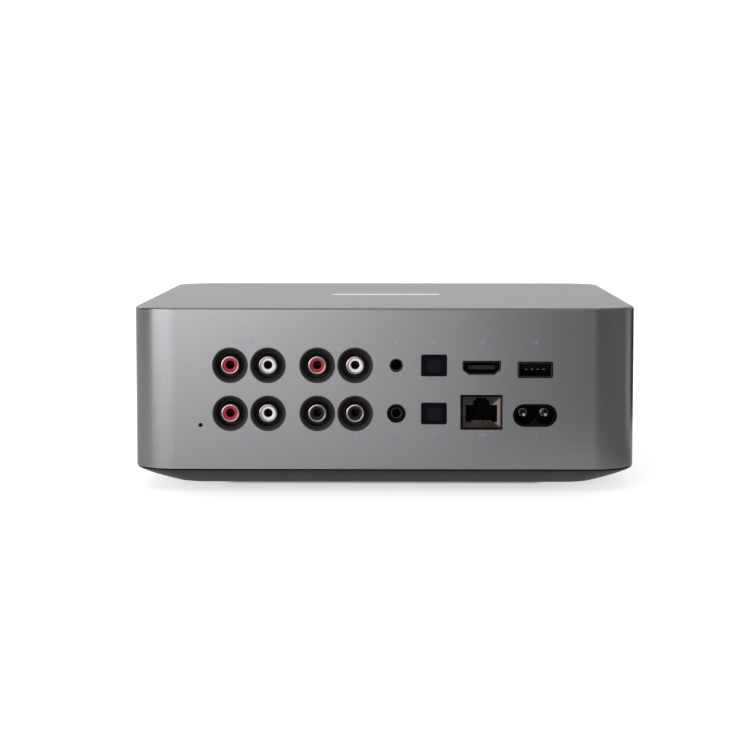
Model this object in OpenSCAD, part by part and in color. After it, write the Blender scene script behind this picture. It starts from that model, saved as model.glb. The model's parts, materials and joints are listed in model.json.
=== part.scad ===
// Network music streamer.
// An aluminium case stands on a dark tapered base. A display, a volume knob and a headphone jack
// are in its front wall, and two rows of sockets are in its rear wall.
// X runs to the right seen from the front, Y to the rear and Z up. The origin is on the floor,
// under the middle of the foot. Sizes are in millimetres.

/* [Case] */
// Width of the case
body_w = 200; // [196:1:240]
// Depth of the case
body_d = 200; // [196:1:240]
// Height of the aluminium case above the base
body_h = 64; // [63:0.5:90]
// Radius of the upright corners
corner_r = 17; // [12:0.5:22]
// Radius of the rounded top edge
edge_r = 0.9; // [0.5:0.1:2]
// Thickness of the four walls
wall_t = 2.5; // [2.2:0.1:3.5]
// Thickness of the top
top_t = 2.5; // [2:0.1:4]
// Length of the bright bar in the top
inlay_l = 48; // [20:1:80]
// Width of the bright bar
inlay_w = 5; // [3:0.5:12]
// Thickness of the bright bar
inlay_t = 0.8; // [0.5:0.1:1.2]

/* [Base] */
// Height of the rubber foot below the base
foot_h = 1.3; // [0.8:0.1:4]
// Depth that the foot is let into the base
foot_sink = 1; // [0.5:0.1:1.5]
// Side of the square foot
foot_w = 120; // [60:1:130]
// Corner radius of the foot
foot_r = 10; // [4:1:25]
// Height of the base, with the shadow gap
base_h = 7.7; // [7:0.1:14]
// Height of the shadow gap under the case
gap_h = 0.6; // [0.3:0.1:1.2]
// Step from the case's side to the top edge of the base
base_step = 0.4; // [0:0.1:1.5]
// How far the base's lower edge is set in
base_inset = 17.5; // [10:0.5:18]
// Corner radius of the base's lower edge
base_low_r = 8; // [6:0.5:14]
// Power of the base's bulging side, where 1 is straight
base_bulge = 1.2; // [1:0.05:1.6]
// Thickness of the base's floor and sides
base_t = 2.5; // [1.5:0.1:3]
// Height of the rim that locates the base in the case
rim_h = 1.5; // [1:0.1:4]
// Thickness of that rim
rim_t = 4.2; // [3.5:0.1:6]

/* [Socket rows] */
// Height of the lower row above the case's lower edge
lower_row_h = 22.2; // [21:0.1:26]
// Height from the lower row to the upper row
row_pitch = 19.1; // [18:0.1:22]
// Column of the two 3.5 mm and earth sockets, from the middle
jack_x = 4.8; // [4:0.1:6]
// Column of the optical sockets
optical_x = 19.7; // [18.5:0.1:21]
// Column of the video and network sockets
video_x = 38.5; // [37:0.1:40]
// Column of the data socket and the mains inlet
power_x = 59.7; // [58:0.1:61]

/* [Phono sockets] */
// Outermost column of phono sockets, from the middle
phono_first_x = 61; // [59:0.5:62]
// Distance between the two columns of a pair
phono_pitch = 15; // [14.5:0.1:17]
// Distance from one pair to the next
phono_step = 34.5; // [33:0.5:36]
// Diameter of the round hole in the rear wall
phono_hole_d = 14.2; // [13.6:0.1:14.4]
// Diameter of the cup's mouth at the panel
phono_mouth_d = 13.2; // [12:0.1:13.2]
// Depth of the sloping mouth
phono_mouth_h = 2.5; // [1:0.1:4]
// Diameter of the cup around the barrel
phono_cup_d = 11; // [10.2:0.1:11.8]
// Diameter of the plated barrel
phono_barrel_d = 8.3; // [8:0.1:8.5]
// Bore of the barrel
phono_barrel_bore = 6.1; // [5.6:0.1:6.6]
// Length of the barrel
phono_barrel_l = 9; // [7:0.5:10]
// How far the barrel's rim lies behind the panel
phono_rim_in = 0.4; // [0:0.1:2]
// Hole through the coloured insert
phono_insert_bore = 3.8; // [3.6:0.1:4.2]
// Bore of the centre contact
phono_pin_bore = 3.3; // [3.2:0.05:3.5]
// Width of the block beside the outer columns
phono_side = 7.5; // [7.2:0.1:8]
// Depth of the block behind the wall
phono_block_l = 14.5; // [13:0.5:18]

/* [Optical sockets] */
// Width of the cut-out for an optical socket
optical_w = 10.3; // [10:0.1:11]
// Height of the cut-out
optical_h = 8.7; // [8.5:0.1:9.5]
// Depth of the housing behind the wall
optical_l = 13; // [12:0.5:16]
// Depth of the plug's space behind the panel
optical_depth = 12; // [10:0.5:13]
// Thickness of the flap's plate
flap_t = 0.8; // [0.6:0.1:1]
// Diameter of the flap's hinge pin
flap_pin_d = 0.9; // [0.7:0.1:1]
// How far the flap's face lies behind the panel
flap_in = 0.8; // [0.6:0.1:1.2]

/* [Video and data sockets] */
// Width of the video socket
video_w = 14.8; // [14.2:0.1:15.4]
// Height of the video socket
video_h = 5.2; // [5:0.1:6]
// Width of the video socket's lower side
video_low_w = 10.1; // [9.5:0.1:11]
// Height of the video socket's upright sides
video_side_h = 3.4; // [3:0.1:3.8]
// Depth of the video socket
video_l = 13; // [11:0.5:16]
// Middle of the video socket below the upper row
video_drop = 0.9; // [0.5:0.1:1.3]
// Width of the data socket's shell
data_w = 13.2; // [12.8:0.1:14]
// Height of the data socket's shell
data_h = 5.7; // [5.5:0.1:6.2]
// Depth of the data socket
data_l = 14; // [12:0.5:18]
// Middle of the data socket below the upper row
data_drop = 1.7; // [1.5:0.1:1.9]
// Distance between the data socket's contacts
data_pitch = 2.3; // [2:0.1:2.5]
// Sheet thickness of the plated shells
sheet_t = 0.4; // [0.3:0.05:0.5]
// Width of the flared lip round the data socket
lip_w = 0.25; // [0.1:0.05:0.3]

/* [Network socket] */
// Width of the network socket's shield
net_w = 15.9; // [15.4:0.1:17]
// Height of the network socket's shield
net_h = 13.1; // [12.9:0.1:13.6]
// Depth of the network socket
net_l = 19; // [17:0.5:22]
// Middle of the network socket above the lower row
net_rise = 0.5; // [0.4:0.1:1]
// Width of the plug's space
net_slot_w = 12.4; // [11.8:0.1:12.8]
// Height of the plug's space
net_slot_h = 6.8; // [6.6:0.1:7.2]
// Depth of the plug's space
net_slot_l = 13; // [11:0.5:14]
// Distance between the network contacts
net_pitch = 1.02; // [0.95:0.01:1.2]

/* [Mains inlet] */
// Width of the mains inlet
inlet_w = 17.5; // [17:0.1:18.5]
// Height of the mains inlet
inlet_h = 9.1; // [8.8:0.1:10]
// Thickness of the inlet's rim
inlet_rim = 0.7; // [0.5:0.1:1]
// Depth of the inlet's space behind the panel
inlet_depth = 12.5; // [11:0.5:14]
// Depth of the inlet's housing behind the wall
inlet_l = 17; // [15:0.5:20]
// Middle of the inlet below the lower row
inlet_drop = 0.7; // [0.3:0.1:1]
// Distance between the two pins
inlet_pitch = 8.6; // [8.4:0.1:8.8]
// Diameter of a pin
inlet_pin_d = 2.4; // [2.2:0.1:2.6]

/* [Jacks and reset] */
// Diameter of a 3.5 mm jack's hole in the wall
jack_hole_d = 7.5; // [7:0.1:8]
// Bore of the jack's sleeve
jack_bore = 3.6; // [3.5:0.05:3.7]
// Length of the jack's sleeve
sleeve_l = 10; // [8:0.5:11]
// Gap between the rear wall and its jack's sleeve
sleeve_gap = 0.1; // [0.1:0.1:0.6]
// Depth of the headphone jack's recess from the front face
phones_in = 4.3; // [4.2:0.1:5]
// Width of the headphone jack's recess
phones_mouth_d = 7; // [6.6:0.1:7.2]
// Diameter of the earth socket's hole in the wall
earth_hole_d = 5.4; // [5:0.1:5.8]
// Thread bore of the earth bush
earth_bore = 4.2; // [3.4:0.1:4.4]
// Length of the earth bush
earth_l = 8; // [6:0.5:12]
// Column of the reset pinhole, from the middle
reset_x = 72.8; // [72:0.1:73.5]
// Reset pinhole below the lower row
reset_drop = 4.7; // [4.4:0.1:4.8]
// Diameter of the pinhole
reset_hole_d = 1.7; // [1.2:0.1:2]
// Diameter of the reset plunger
reset_d = 2.8; // [2.4:0.1:3]
// Travel of the reset plunger
reset_travel = 0.3; // [0.2:0.05:0.4]

/* [Display] */
// Width of the display's glass
glass_w = 84; // [70:1:88]
// Height of the wall above and below the display's glass
glass_margin = 6; // [5:0.5:12]
// Thickness of the glass
glass_t = 1.5; // [1:0.1:1.6]
// Corner radius of the glass
glass_r = 3; // [2:0.5:6]
// Ledge of the wall behind the glass's edge
glass_lap = 3; // [2:0.5:4]
// Middle of the display from the middle of the front
display_x = -14; // [-16:1:-12]
// Thickness of the display panel
panel_t = 4; // [3:0.5:6]
// Wall thickness of the frame behind the panel
frame_t = 2.5; // [1.5:0.1:4]

/* [Volume knob] */
// Diameter of the knob
knob_d = 38; // [30:0.5:40]
// How far the knob stands out of the front
knob_h = 6; // [5:0.5:10]
// Gap between the knob and the front
knob_gap = 0.8; // [0.8:0.1:1.2]
// Thickness of the knob cap's face
cap_t = 2; // [1.5:0.1:2.4]
// Thickness of the knob cap's rim
cap_rim = 2.5; // [1.5:0.1:4]
// Knob's middle from the case's right side
knob_side = 38; // [36:0.5:40]
// Diameter of the hub that passes through the wall
hub_d = 12; // [10:0.5:14]
// Diameter of the shaft
shaft_d = 6; // [5:0.5:7]
// Travel of the knob when pressed
push_travel = 0.5; // [0.3:0.1:0.5]
// Headphone jack's middle from the case's left side
phones_side = 28; // [27:0.5:30]

/* [Inside] */
// Thickness of the chassis plate
chassis_t = 1.5; // [1:0.1:2]
// Gap between chassis plate and case wall
chassis_gap = 2.5; // [1.5:0.1:3]
// Thickness of a circuit board
board_t = 1.6; // [1.2:0.1:2]
// Lower row above the main board's upper face
board_drop = 7.2; // [7.1:0.1:7.6]
// Upper row above the upper board's upper face
upper_drop = 4.9; // [4.8:0.1:5.4]
// Length of the upper board
upper_l = 60; // [50:1:70]
// Case posts from the outer walls
post_inset = 17; // [15:0.5:18]
// Diameter of the case posts
post_d = 9; // [8:0.5:10]
// Space between the front wall and the front board
front_depth = 15; // [14:0.5:18]
// Diameter of the front board's posts
front_post_d = 6; // [5:0.5:7]
// Diameter of the board spacers
spacer_d = 5.5; // [5:0.1:6]
// Base screws from the case's sides
base_screw_inset = 24; // [23.5:0.5:26]
// Diameter of the screws
screw_d = 3; // [2.5:0.1:3]
// Diameter of the screw heads
head_d = 5.6; // [5:0.1:6]
// Height of the screw heads
head_h = 1.8; // [1.4:0.1:2]

/* [Fits] */
// Gap round a socket in its cut-out
socket_fit = 0.2; // [0.1:0.05:0.3]
// Radial clearance of parts set into each other
seat_fit = 0.05; // [0.02:0.01:0.1]
// Radial running clearance of shafts and pins
run_fit = 0.06; // [0.03:0.01:0.1]
// Gap round the flap in its slot
flap_fit = 0.25; // [0.2:0.05:0.3]
// Clearance of screws in plain holes
screw_fit = 0.3; // [0.2:0.05:0.5]
// Gap between the base's rim and the case
rim_fit = 0.3; // [0.2:0.1:0.6]

/* [Hidden] */
$fn = 64;

// Overshoot of a cut beyond the face that it opens
cut = 1;
// Heights of the main planes
z_base = foot_h;
z_body = foot_h + base_h;
z_gap = z_body - gap_h;
z_top = z_body + body_h;
z_ceiling = z_top - top_t;
z_plate = z_body + rim_h;
z_deck = z_plate + chassis_t;
row_lo_z = z_body + lower_row_h;
row_hi_z = row_lo_z + row_pitch;
z_board = row_lo_z - board_drop;
z_upper = row_hi_z - upper_drop;
rows = [row_lo_z, row_hi_z];

// Front and rear wall faces
rear_y = body_d / 2;
rear_in = rear_y - wall_t;
front_y = -body_d / 2;
front_in = front_y + wall_t;
inner_w = body_w - 2 * wall_t;
inner_d = body_d - 2 * wall_t;
inner_r = corner_r - wall_t;

// Base: inset of its side at a height, and its corner radius there
floor_z = z_base + foot_sink + base_t;
function base_drop(z) = (z_gap - z) / (z_gap - z_base);
function base_in(z) = base_step + base_inset * pow(base_drop(z), base_bulge);
function base_corner(z) = corner_r - base_step - (corner_r - base_low_r) * base_drop(z);
base_slices = 8;
slice_t = 0.02;
lower_round = 1.2;
base_facets = 48;
rim_w = inner_w - 2 * rim_fit;
rim_d = inner_d - 2 * rim_fit;
rim_r = inner_r - rim_fit;
boss_d = 8.4;
recess_h = 2.2;

// Case posts, base screws and boards
post_x = body_w / 2 - post_inset;
post_y = body_d / 2 - post_inset;
post_hole_l = 12;
base_screw_x = body_w / 2 - base_screw_inset;
base_screw_y = body_d / 2 - base_screw_inset;
plate_w = inner_w - 2 * chassis_gap;
plate_d = inner_d - 2 * chassis_gap;
plate_r = inner_r - chassis_gap;
board_clear = 1.5;
board_half_w = post_x - post_d / 2 - board_clear;
board_front_gap = 11;
board_front = front_in + front_depth + board_t + board_front_gap;
board_rear = rear_in - board_clear;
split_shift = 1.2;
split_x = split_shift - (video_x + power_x) / 2;
split_gap = 0.7;
main_x = [split_x + split_gap / 2, board_half_w];
power_side_x = [-board_half_w, split_x - split_gap / 2];
upper_side = 11;
upper_x = [-power_x - upper_side, -optical_x + upper_side];
upper_y = [board_rear - upper_l, board_rear];
fix_in = 6;
fix_rear = 26;
upper_fix_in = 4;
upper_fix_rear = 34;
fix_y = [board_front + fix_in, board_rear - fix_rear];
main_fix = [for (x = [main_x[0] + fix_in, main_x[1] - fix_in], y = fix_y) [x, y]];
power_fix = [for (x = [power_side_x[0] + fix_in, power_side_x[1] - fix_in], y = fix_y) [x, y]];
upper_fix = [for (x = [upper_x[0] + upper_fix_in, upper_x[1] - upper_fix_in],
  y = [upper_y[0] + fix_in, upper_y[1] - upper_fix_rear]) [x, y]];
screw_l = 6;

// Front board and its posts
front_board_y = front_in + front_depth;
front_board_gap = 2.2;
front_board_z = [z_deck + front_board_gap, z_ceiling - front_board_gap];
front_fix_edge = 8;
front_fix_side = 3;
front_fix_x = [display_x - glass_w / 2 - front_fix_edge, display_x + glass_w / 2 + front_fix_edge,
  board_half_w - front_fix_side];
front_fix_z = [z_body + front_fix_edge, z_top - front_fix_edge];
front_fix = [for (x = front_fix_x, z = front_fix_z) [x, z]];

// Phono sockets: block middles, and columns by insert colour
phono_cols = [phono_first_x, phono_first_x - phono_pitch,
  phono_first_x - phono_step, phono_first_x - phono_step - phono_pitch];
phono_mid = [for (p = [0, 1]) phono_first_x - p * phono_step - phono_pitch / 2];
phono_front = rear_y - phono_rim_in;
phono_floor = phono_front - phono_barrel_l;
red_spots = [[phono_cols[0], row_hi_z], [phono_cols[0], row_lo_z], [phono_cols[2], row_hi_z]];
white_spots = [[phono_cols[1], row_hi_z], [phono_cols[1], row_lo_z], [phono_cols[3], row_hi_z]];
black_spots = [[phono_cols[2], row_lo_z], [phono_cols[3], row_lo_z]];
all_spots = concat(red_spots, white_spots, black_spots);
phono_lip = 0.25;
insert_in = 0.4;
insert_lip = 0.3;
contact_back = 5.5;
contact_in = 3;

// Optical sockets: plug-shaped slot, and the flap behind the frame
slot_top = 2.55;
slot_h = 5.9;
frame_back = 1.5;
flap_axis_up = 0.6;
flap_axis_z = slot_top + flap_axis_up;
flap_axis_y = rear_y - frame_back - flap_fit / 2 - flap_t / 2;
space_w = 8;
space_top = 3.85;
space_low = -3.75;
flap_side = 0.35;
flap_low = 0.3;
flap_w = space_w - 2 * flap_side;
flap_pin_out = 0.65;
flap_pin_l = space_w + 2 * flap_pin_out;
optical_pad = 1.5;
optical_head = 0.6;
optical_r = 0.8;
lens_d = 3;
lens_t = 1;
optical_spots = [[-optical_x, row_hi_z], [-optical_x, row_lo_z]];

// Other rear sockets
video_z = row_hi_z - video_drop;
data_z = row_hi_z - data_drop;
net_z = row_lo_z + net_rise;
inlet_z = row_lo_z - inlet_drop;
reset_z = row_lo_z - reset_drop;
face_in = 0.1;
video_tongue_w = 10.4;
video_tongue_t = 1.3;
video_tongue_in = 2.2;
data_lip_l = 0.8;
data_lip_r = 0.5;
data_foot_w = 2;
data_foot_l = 4;
data_tongue_z = [0.15, 2];
data_tongue_w = 11.2;
data_tongue_in = 1.8;
data_contact_w = 1;
data_contact_t = 0.25;
data_contact_in = 3;
insulator_l = 3;
insulator_foot = 2.5;
net_slot_low = -3.85;
net_foot = 2;
leaf_w = 0.45;
leaf_t = 0.25;
leaf_rise = 1.4;
leaf_in = 2;
leaf_flat = 4;
leaf_toe = 1;
latch_1 = [6.5, 1.9];
latch_2 = [4.2, 1];
inlet_side = 1;
inlet_head = 1.5;
inlet_pin_in = 3;
inlet_nose = 0.6;
ridge_w = 3.9;
ridge_h = 2.4;
sleeve_in = wall_t + sleeve_gap;
jack_wall = 0.5;
jack_dish = 0.5;
jack_mouth = 0.4;
jack_w = 8;
jack_head = 4.5;
jack_tail = 3;
earth_flange = 2;
earth_wall = 1.5;
reset_in = 0.6;
reset_l = 5.9;
reset_gap = 2.5;
reset_body_l = 5;
reset_half_w = 3;
reset_end = 0.2;
reset_tip = rear_in - reset_in;
reset_front = rear_in - reset_gap;

// Front parts
glass_h = body_h - 2 * glass_margin;
front_mid_z = z_body + body_h / 2;
display_z = front_mid_z;
panel_lap = 2.5;
panel_w = glass_w - 2 * glass_lap + 2 * panel_lap;
panel_h = glass_h - 2 * glass_lap + 2 * panel_lap;
panel_back = front_in + panel_t;
knob_x = body_w / 2 - knob_side;
knob_z = front_mid_z;
phones_x = -(body_w / 2 - phones_side);
phones_z = front_mid_z;
phones_low = 4.5;
knob_front = front_y - knob_h;
knob_back = front_y - knob_gap;
hub_front = knob_front + cap_t;
hub_tail = 2.7;
hub_back = front_in + hub_tail;
hub_cap_t = 1;
shaft_front = hub_front + hub_cap_t;
push_clear = 0.5;
bush_front = hub_back + push_travel + push_clear;
bush_l = 3.5;
encoder_front = bush_front + bush_l;
encoder_side = 13;
bush_d = shaft_d + 4;
plunger_l = 3.9;
plunger_d = shaft_d - 1.6;
switch_front = front_board_y - plunger_l;
plunger_gap = 0.2;
plunger_back = front_board_y - push_travel - plunger_gap;
hub_clear = 0.6;
hub_disc_gap = 0.4;
cap_bevel = 0.6;

// Flat cables
cable_t = 0.3;
cable_tab = 6;
display_cable_w = 20;
display_cable_drop = 6;
front_cable_w = 24;
front_cable_in = 3;

// Parts on the boards
part_gap = 6;
power_mid = (power_side_x[0] + power_side_x[1]) / 2;
bulk_d = 16;
bulk_h = 28;
bulk_groove = 0.6;
bulk_groove_z = 3;
bulk_bevel = 1;
bulk_y = upper_y[0] - part_gap - bulk_d / 2;
core_w = 24;
core_l = 34;
core_h = 16;
coil_w = 20;
coil_l = 22;
coil_h = 21;
core_y = bulk_y - bulk_d / 2 - part_gap - core_l / 2;
sink_w = 40;
sink_base = 3;
sink_h = 12;
fin_t = 1.6;
fins = 8;
sink_x = (main_x[0] + main_x[1]) / 2;
sink_y = (board_front + board_rear) / 2;
card_w = 24;
card_l = 18;
card_t = 1;
can_w = 16;
can_l = 15;
can_h = 3.2;
can_edge = 1;
card_side = 8;
card_front = 19;
audio_can_d = 8;
audio_can_h = 11.5;
header_w = 22;
header_l = 5;
header_side = 2;
header_in = 14;

// Flat shapes

// Rectangle with round corners, centred
module round_rect(w, d, r) {
  square([w - 2 * r, d], center = true);
  square([w, d - 2 * r], center = true);
  for (x = [-1, 1], y = [-1, 1]) translate([x * (w / 2 - r), y * (d / 2 - r)]) circle(r);
}

// Rectangle with half-round ends, centred
module stadium(w, h) {
  square([w - h, h], center = true);
  for (x = [-1, 1]) translate([x * (w - h) / 2, 0]) circle(h / 2);
}

// Plug-shaped outline of an optical slot, smaller by gap on every side
module optical_outline(gap) {
  half = [[3.15, 0], [3.15, 1.8], [3.7, 3.2], [2.95, 4], [2.9, 5.2], [2.2, slot_h]];
  side = [for (p = half) [p[0] - gap, slot_top - min(max(p[1], gap), slot_h - gap)]];
  last = len(side) - 1;
  polygon(concat(side, [for (i = [last : -1 : 0]) [-side[i][0], side[i][1]]]));
}

// Outline of the video socket, smaller by gap on every side
module video_outline(gap) {
  w = video_w / 2 - gap;
  low = video_low_w / 2 - gap / 2;
  top = video_h / 2 - gap;
  knee = video_h / 2 - video_side_h;
  polygon([[-w, top], [w, top], [w, knee], [low, -top], [-low, -top], [-w, knee]]);
}

// Outline of the network plug's space, with the two latch steps at its top
module network_outline() {
  top = net_slot_low + net_slot_h;
  translate([-net_slot_w / 2, net_slot_low]) square([net_slot_w, net_slot_h]);
  translate([-latch_1[0] / 2, top - cut]) square([latch_1[0], latch_1[1] + cut]);
  translate([-latch_2[0] / 2, top - cut]) square([latch_2[0], latch_1[1] + latch_2[1] + cut]);
}

// Outline of the mains inlet's space, with a ridge between its two lower lobes
module inlet_outline() {
  h = inlet_h - 2 * socket_fit - 2 * inlet_rim;
  difference() {
    stadium(inlet_w - 2 * socket_fit - 2 * inlet_rim, h);
    polygon([[-ridge_w / 2, -h / 2 - cut], [ridge_w / 2, -h / 2 - cut],
      [ridge_w / 2, -h / 2], [0, ridge_h - h / 2], [-ridge_w / 2, -h / 2]]);
  }
}

// Solids

// Flat shape in X and Z, carried along Y from y0 to y1
module along_y(y0, y1) {
  translate([0, y1, 0]) rotate([90, 0, 0]) linear_extrude(y1 - y0) children();
}

// Flat shape in Y and Z, carried along X and centred
module along_x(l) {
  translate([-l / 2, 0, 0]) rotate([90, 0, 90]) linear_extrude(l) children();
}

// Profile of radius and Y, turned about the Y axis
module turned_y() {
  rotate([-90, 0, 0]) rotate_extrude() children();
}

// Block with round upright corners from z0 to z1
module pillar_block(w, d, r, z0, z1) {
  translate([0, 0, z0]) linear_extrude(z1 - z0) round_rect(w, d, r);
}

// Box between two corners
module box(low, high) {
  translate(low) cube(high - low);
}

// Upright cylinder from z0 to z1
module post(d, z0, z1) {
  translate([0, 0, z0]) cylinder(d = d, h = z1 - z0);
}

// Screw that points down, with its head's seat at the origin
module screw(l) {
  difference() {
    union() {
      cylinder(d = head_d, h = head_h);
      translate([0, 0, -l]) cylinder(d = screw_d - 2 * seat_fit, h = l + cut);
    }
    translate([0, 0, head_h / 2]) cylinder(d = screw_d, h = head_h, $fn = 6);
  }
}

// Circuit board with its screw holes
module board(x, y, z, holes) {
  difference() {
    box([x[0], y[0], z - board_t], [x[1], y[1], z]);
    for (p = holes) translate([p[0], p[1], 0])
      post(screw_d + 2 * screw_fit, z - 2 * board_t, z + cut);
  }
}

// Case and base

// Half profile of the case with the rounded top edge, from the middle to half its width
module case_profile(half) {
  translate([-half, 0]) square([2 * half, body_h - edge_r]);
  translate([edge_r - half, 0]) square([2 * (half - edge_r), body_h]);
  for (s = [-1, 1]) translate([s * (half - edge_r), body_h - edge_r]) circle(edge_r);
}

module case_block() {
  translate([0, 0, z_body]) {
    along_x(body_w - 2 * corner_r) case_profile(body_d / 2);
    rotate([0, 0, 90]) along_x(body_d - 2 * corner_r) case_profile(body_w / 2);
    for (x = [-1, 1], y = [-1, 1])
      translate([x * (body_w / 2 - corner_r), y * (body_d / 2 - corner_r), 0]) rotate_extrude()
        intersection() {
          case_profile(corner_r);
          square([corner_r, body_h]);
        }
  }
}

module rear_cutouts() {
  along_y(rear_in - cut, rear_y + cut) {
    for (p = all_spots) translate(p) circle(d = phono_hole_d);
    for (p = optical_spots) translate(p) round_rect(optical_w, optical_h, optical_r);
    translate([-jack_x, row_hi_z]) circle(d = earth_hole_d);
    translate([-jack_x, row_lo_z]) circle(d = jack_hole_d);
    translate([-video_x, video_z]) video_outline(-socket_fit);
    translate([-power_x, data_z]) round_rect(data_w + 2 * (lip_w + socket_fit),
      data_h + 2 * (lip_w + socket_fit), data_lip_r + socket_fit);
    translate([-video_x, net_z])
      square([net_w + 4 * socket_fit, net_h + 4 * socket_fit], center = true);
    translate([-power_x, inlet_z]) stadium(inlet_w, inlet_h);
    translate([reset_x, reset_z]) circle(d = reset_hole_d);
  }
}

module front_cutouts() {
  translate([display_x, 0, display_z]) {
    along_y(front_y - cut, front_y + glass_t)
      round_rect(glass_w + 2 * socket_fit, glass_h + 2 * socket_fit, glass_r + socket_fit);
    along_y(front_y - cut, front_in + cut)
      round_rect(glass_w - 2 * glass_lap, glass_h - 2 * glass_lap, glass_r);
  }
  along_y(front_y - cut, front_in + cut) {
    translate([knob_x, knob_z]) circle(d = hub_d + 2 * hub_clear);
    translate([phones_x, phones_z]) circle(d = jack_hole_d);
  }
}

module case_shell() {
  color("#a9a9ad") difference() {
    union() {
      difference() {
        case_block();
        pillar_block(inner_w, inner_d, inner_r, z_body - cut, z_ceiling);
      }
      for (x = [-1, 1], y = [-1, 1])
        translate([x * post_x, y * post_y, 0]) post(post_d, z_deck, z_ceiling + cut);
      for (p = front_fix)
        translate([p[0], 0, p[1]]) along_y(front_in - cut, front_board_y) circle(d = front_post_d);
    }
    rear_cutouts();
    front_cutouts();
    translate([0, 0, z_top - inlay_t]) linear_extrude(inlay_t + cut) stadium(inlay_l, inlay_w);
    for (x = [-1, 1], y = [-1, 1])
      translate([x * post_x, y * post_y, 0]) post(screw_d, z_deck - cut, z_deck + post_hole_l);
    for (p = front_fix)
      translate([p[0], 0, p[1]]) along_y(front_board_y - screw_l, front_board_y + cut)
        circle(d = screw_d);
  }
}

module top_inlay() {
  color("#e4e4e6") translate([0, 0, z_top - inlay_t]) linear_extrude(inlay_t)
    stadium(inlay_l - 2 * seat_fit, inlay_w - 2 * seat_fit);
}

// Thin slice of the base at height z, drawn in by extra
module base_slice(z, extra) {
  in = base_in(z) + extra;
  r = max(base_corner(z), 1);
  translate([0, 0, min(z, z_gap - slice_t)]) linear_extrude(slice_t)
    for (x = [-1, 1], y = [-1, 1])
      translate([x * (body_w / 2 - in - r), y * (body_d / 2 - in - r)]) circle(r, $fn = base_facets);
}

module base_cover() {
  low_in = base_in(floor_z) + base_t;
  low_r = base_corner(floor_z) - base_t;
  low_z = z_base + lower_round / 2;
  color("#303033") difference() {
    union() {
      difference() {
        union() {
          hull() {
            base_slice(z_base, lower_round);
            for (i = [0 : base_slices]) base_slice(low_z + (z_gap - low_z) * i / base_slices, 0);
          }
          pillar_block(rim_w, rim_d, rim_r, z_gap - cut, z_plate);
        }
        pillar_block(body_w - 2 * low_in, body_d - 2 * low_in, low_r, floor_z, z_plate + cut);
        pillar_block(rim_w - 2 * rim_t, rim_d - 2 * rim_t, rim_r - rim_t,
          (floor_z + z_gap) / 2, z_plate + cut);
      }
      for (x = [-1, 1], y = [-1, 1])
        translate([x * base_screw_x, y * base_screw_y, 0]) post(boss_d, floor_z - cut, z_plate);
    }
    pillar_block(foot_w + 2 * socket_fit, foot_w + 2 * socket_fit, foot_r + socket_fit,
      z_base - cut, z_base + foot_sink);
    for (x = [-1, 1], y = [-1, 1]) translate([x * base_screw_x, y * base_screw_y, 0]) {
      post(head_d + 2 * screw_fit, z_base - cut, z_base + recess_h);
      post(screw_d + 2 * screw_fit, z_base, z_plate + cut);
    }
  }
}

module foot_pad() {
  color("#1b1b1c") pillar_block(foot_w, foot_w, foot_r, 0, z_base + foot_sink);
}

module base_screws() {
  color("#55565a") for (x = [-1, 1], y = [-1, 1])
    translate([x * base_screw_x, y * base_screw_y, z_base + recess_h]) rotate([180, 0, 0])
      screw(z_deck + head_h / 2 - z_base - recess_h);
}

module chassis_plate() {
  color("#8d9196") difference() {
    pillar_block(plate_w, plate_d, plate_r, z_plate, z_deck);
    for (x = [-1, 1], y = [-1, 1]) {
      translate([x * post_x, y * post_y, 0])
        post(screw_d + 2 * screw_fit, z_plate - cut, z_deck + cut);
      translate([x * base_screw_x, y * base_screw_y, 0])
        post(screw_d, z_plate - cut, z_deck + cut);
    }
  }
}

module chassis_screws() {
  color("#c8c9cc") for (x = [-1, 1], y = [-1, 1])
    translate([x * post_x, y * post_y, z_plate]) rotate([180, 0, 0]) screw(chassis_t + screw_l);
}

// Boards

// Hollow spacer with a thread bore
module spacer(p, z0, z1) {
  translate([p[0], p[1], 0]) difference() {
    post(spacer_d, z0, z1);
    post(screw_d, z1 - screw_l, z1 + cut);
  }
}

module board_spacers() {
  color("#c9b26a") {
    for (p = concat(main_fix, power_fix)) spacer(p, z_deck, z_board - board_t);
    for (p = upper_fix) spacer(p, z_board, z_upper - board_t);
  }
}

module main_board() {
  color("#1f5a3a") board(main_x, [board_front, board_rear], z_board, main_fix);
}

module power_board() {
  color("#2a6a45") board(power_side_x, [board_front, board_rear], z_board, power_fix);
}

module upper_board() {
  color("#1f5a3a") board(upper_x, upper_y, z_upper, upper_fix);
}

module board_screws() {
  color("#c8c9cc") {
    for (p = concat(main_fix, power_fix)) translate([p[0], p[1], z_board]) screw(screw_l);
    for (p = upper_fix) translate([p[0], p[1], z_upper]) screw(screw_l);
  }
}

module link_header() {
  color("#202022") translate([main_x[0] + header_side + header_w / 2, upper_y[0] + header_in, z_board])
    linear_extrude(z_upper - board_t - z_board) square([header_w, header_l], center = true);
}

// Phono sockets

// Moulded block with four dished cups, stood on the main board
module phono_block(x) {
  w = phono_pitch + 2 * phono_side;
  boss_r = phono_hole_d / 2 - socket_fit;
  cup_r = phono_cup_d / 2;
  mouth_r = phono_mouth_d / 2;
  mouth = rear_y - socket_fit;
  difference() {
    union() {
      box([x - w / 2, rear_in - phono_block_l, z_board],
        [x + w / 2, rear_in, row_hi_z + phono_side]);
      for (s = [-1, 1], z = rows)
        translate([x + s * phono_pitch / 2, 0, z]) along_y(rear_in - cut, mouth) circle(boss_r);
    }
    for (s = [-1, 1], z = rows) translate([x + s * phono_pitch / 2, 0, z]) {
      turned_y() polygon([[0, phono_floor], [cup_r, phono_floor], [cup_r, mouth - phono_mouth_h],
        [mouth_r, mouth], [mouth_r, mouth + cut], [0, mouth + cut]]);
      along_y(phono_floor - contact_back, phono_floor + cut) circle(d = phono_insert_bore);
    }
  }
}

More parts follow.
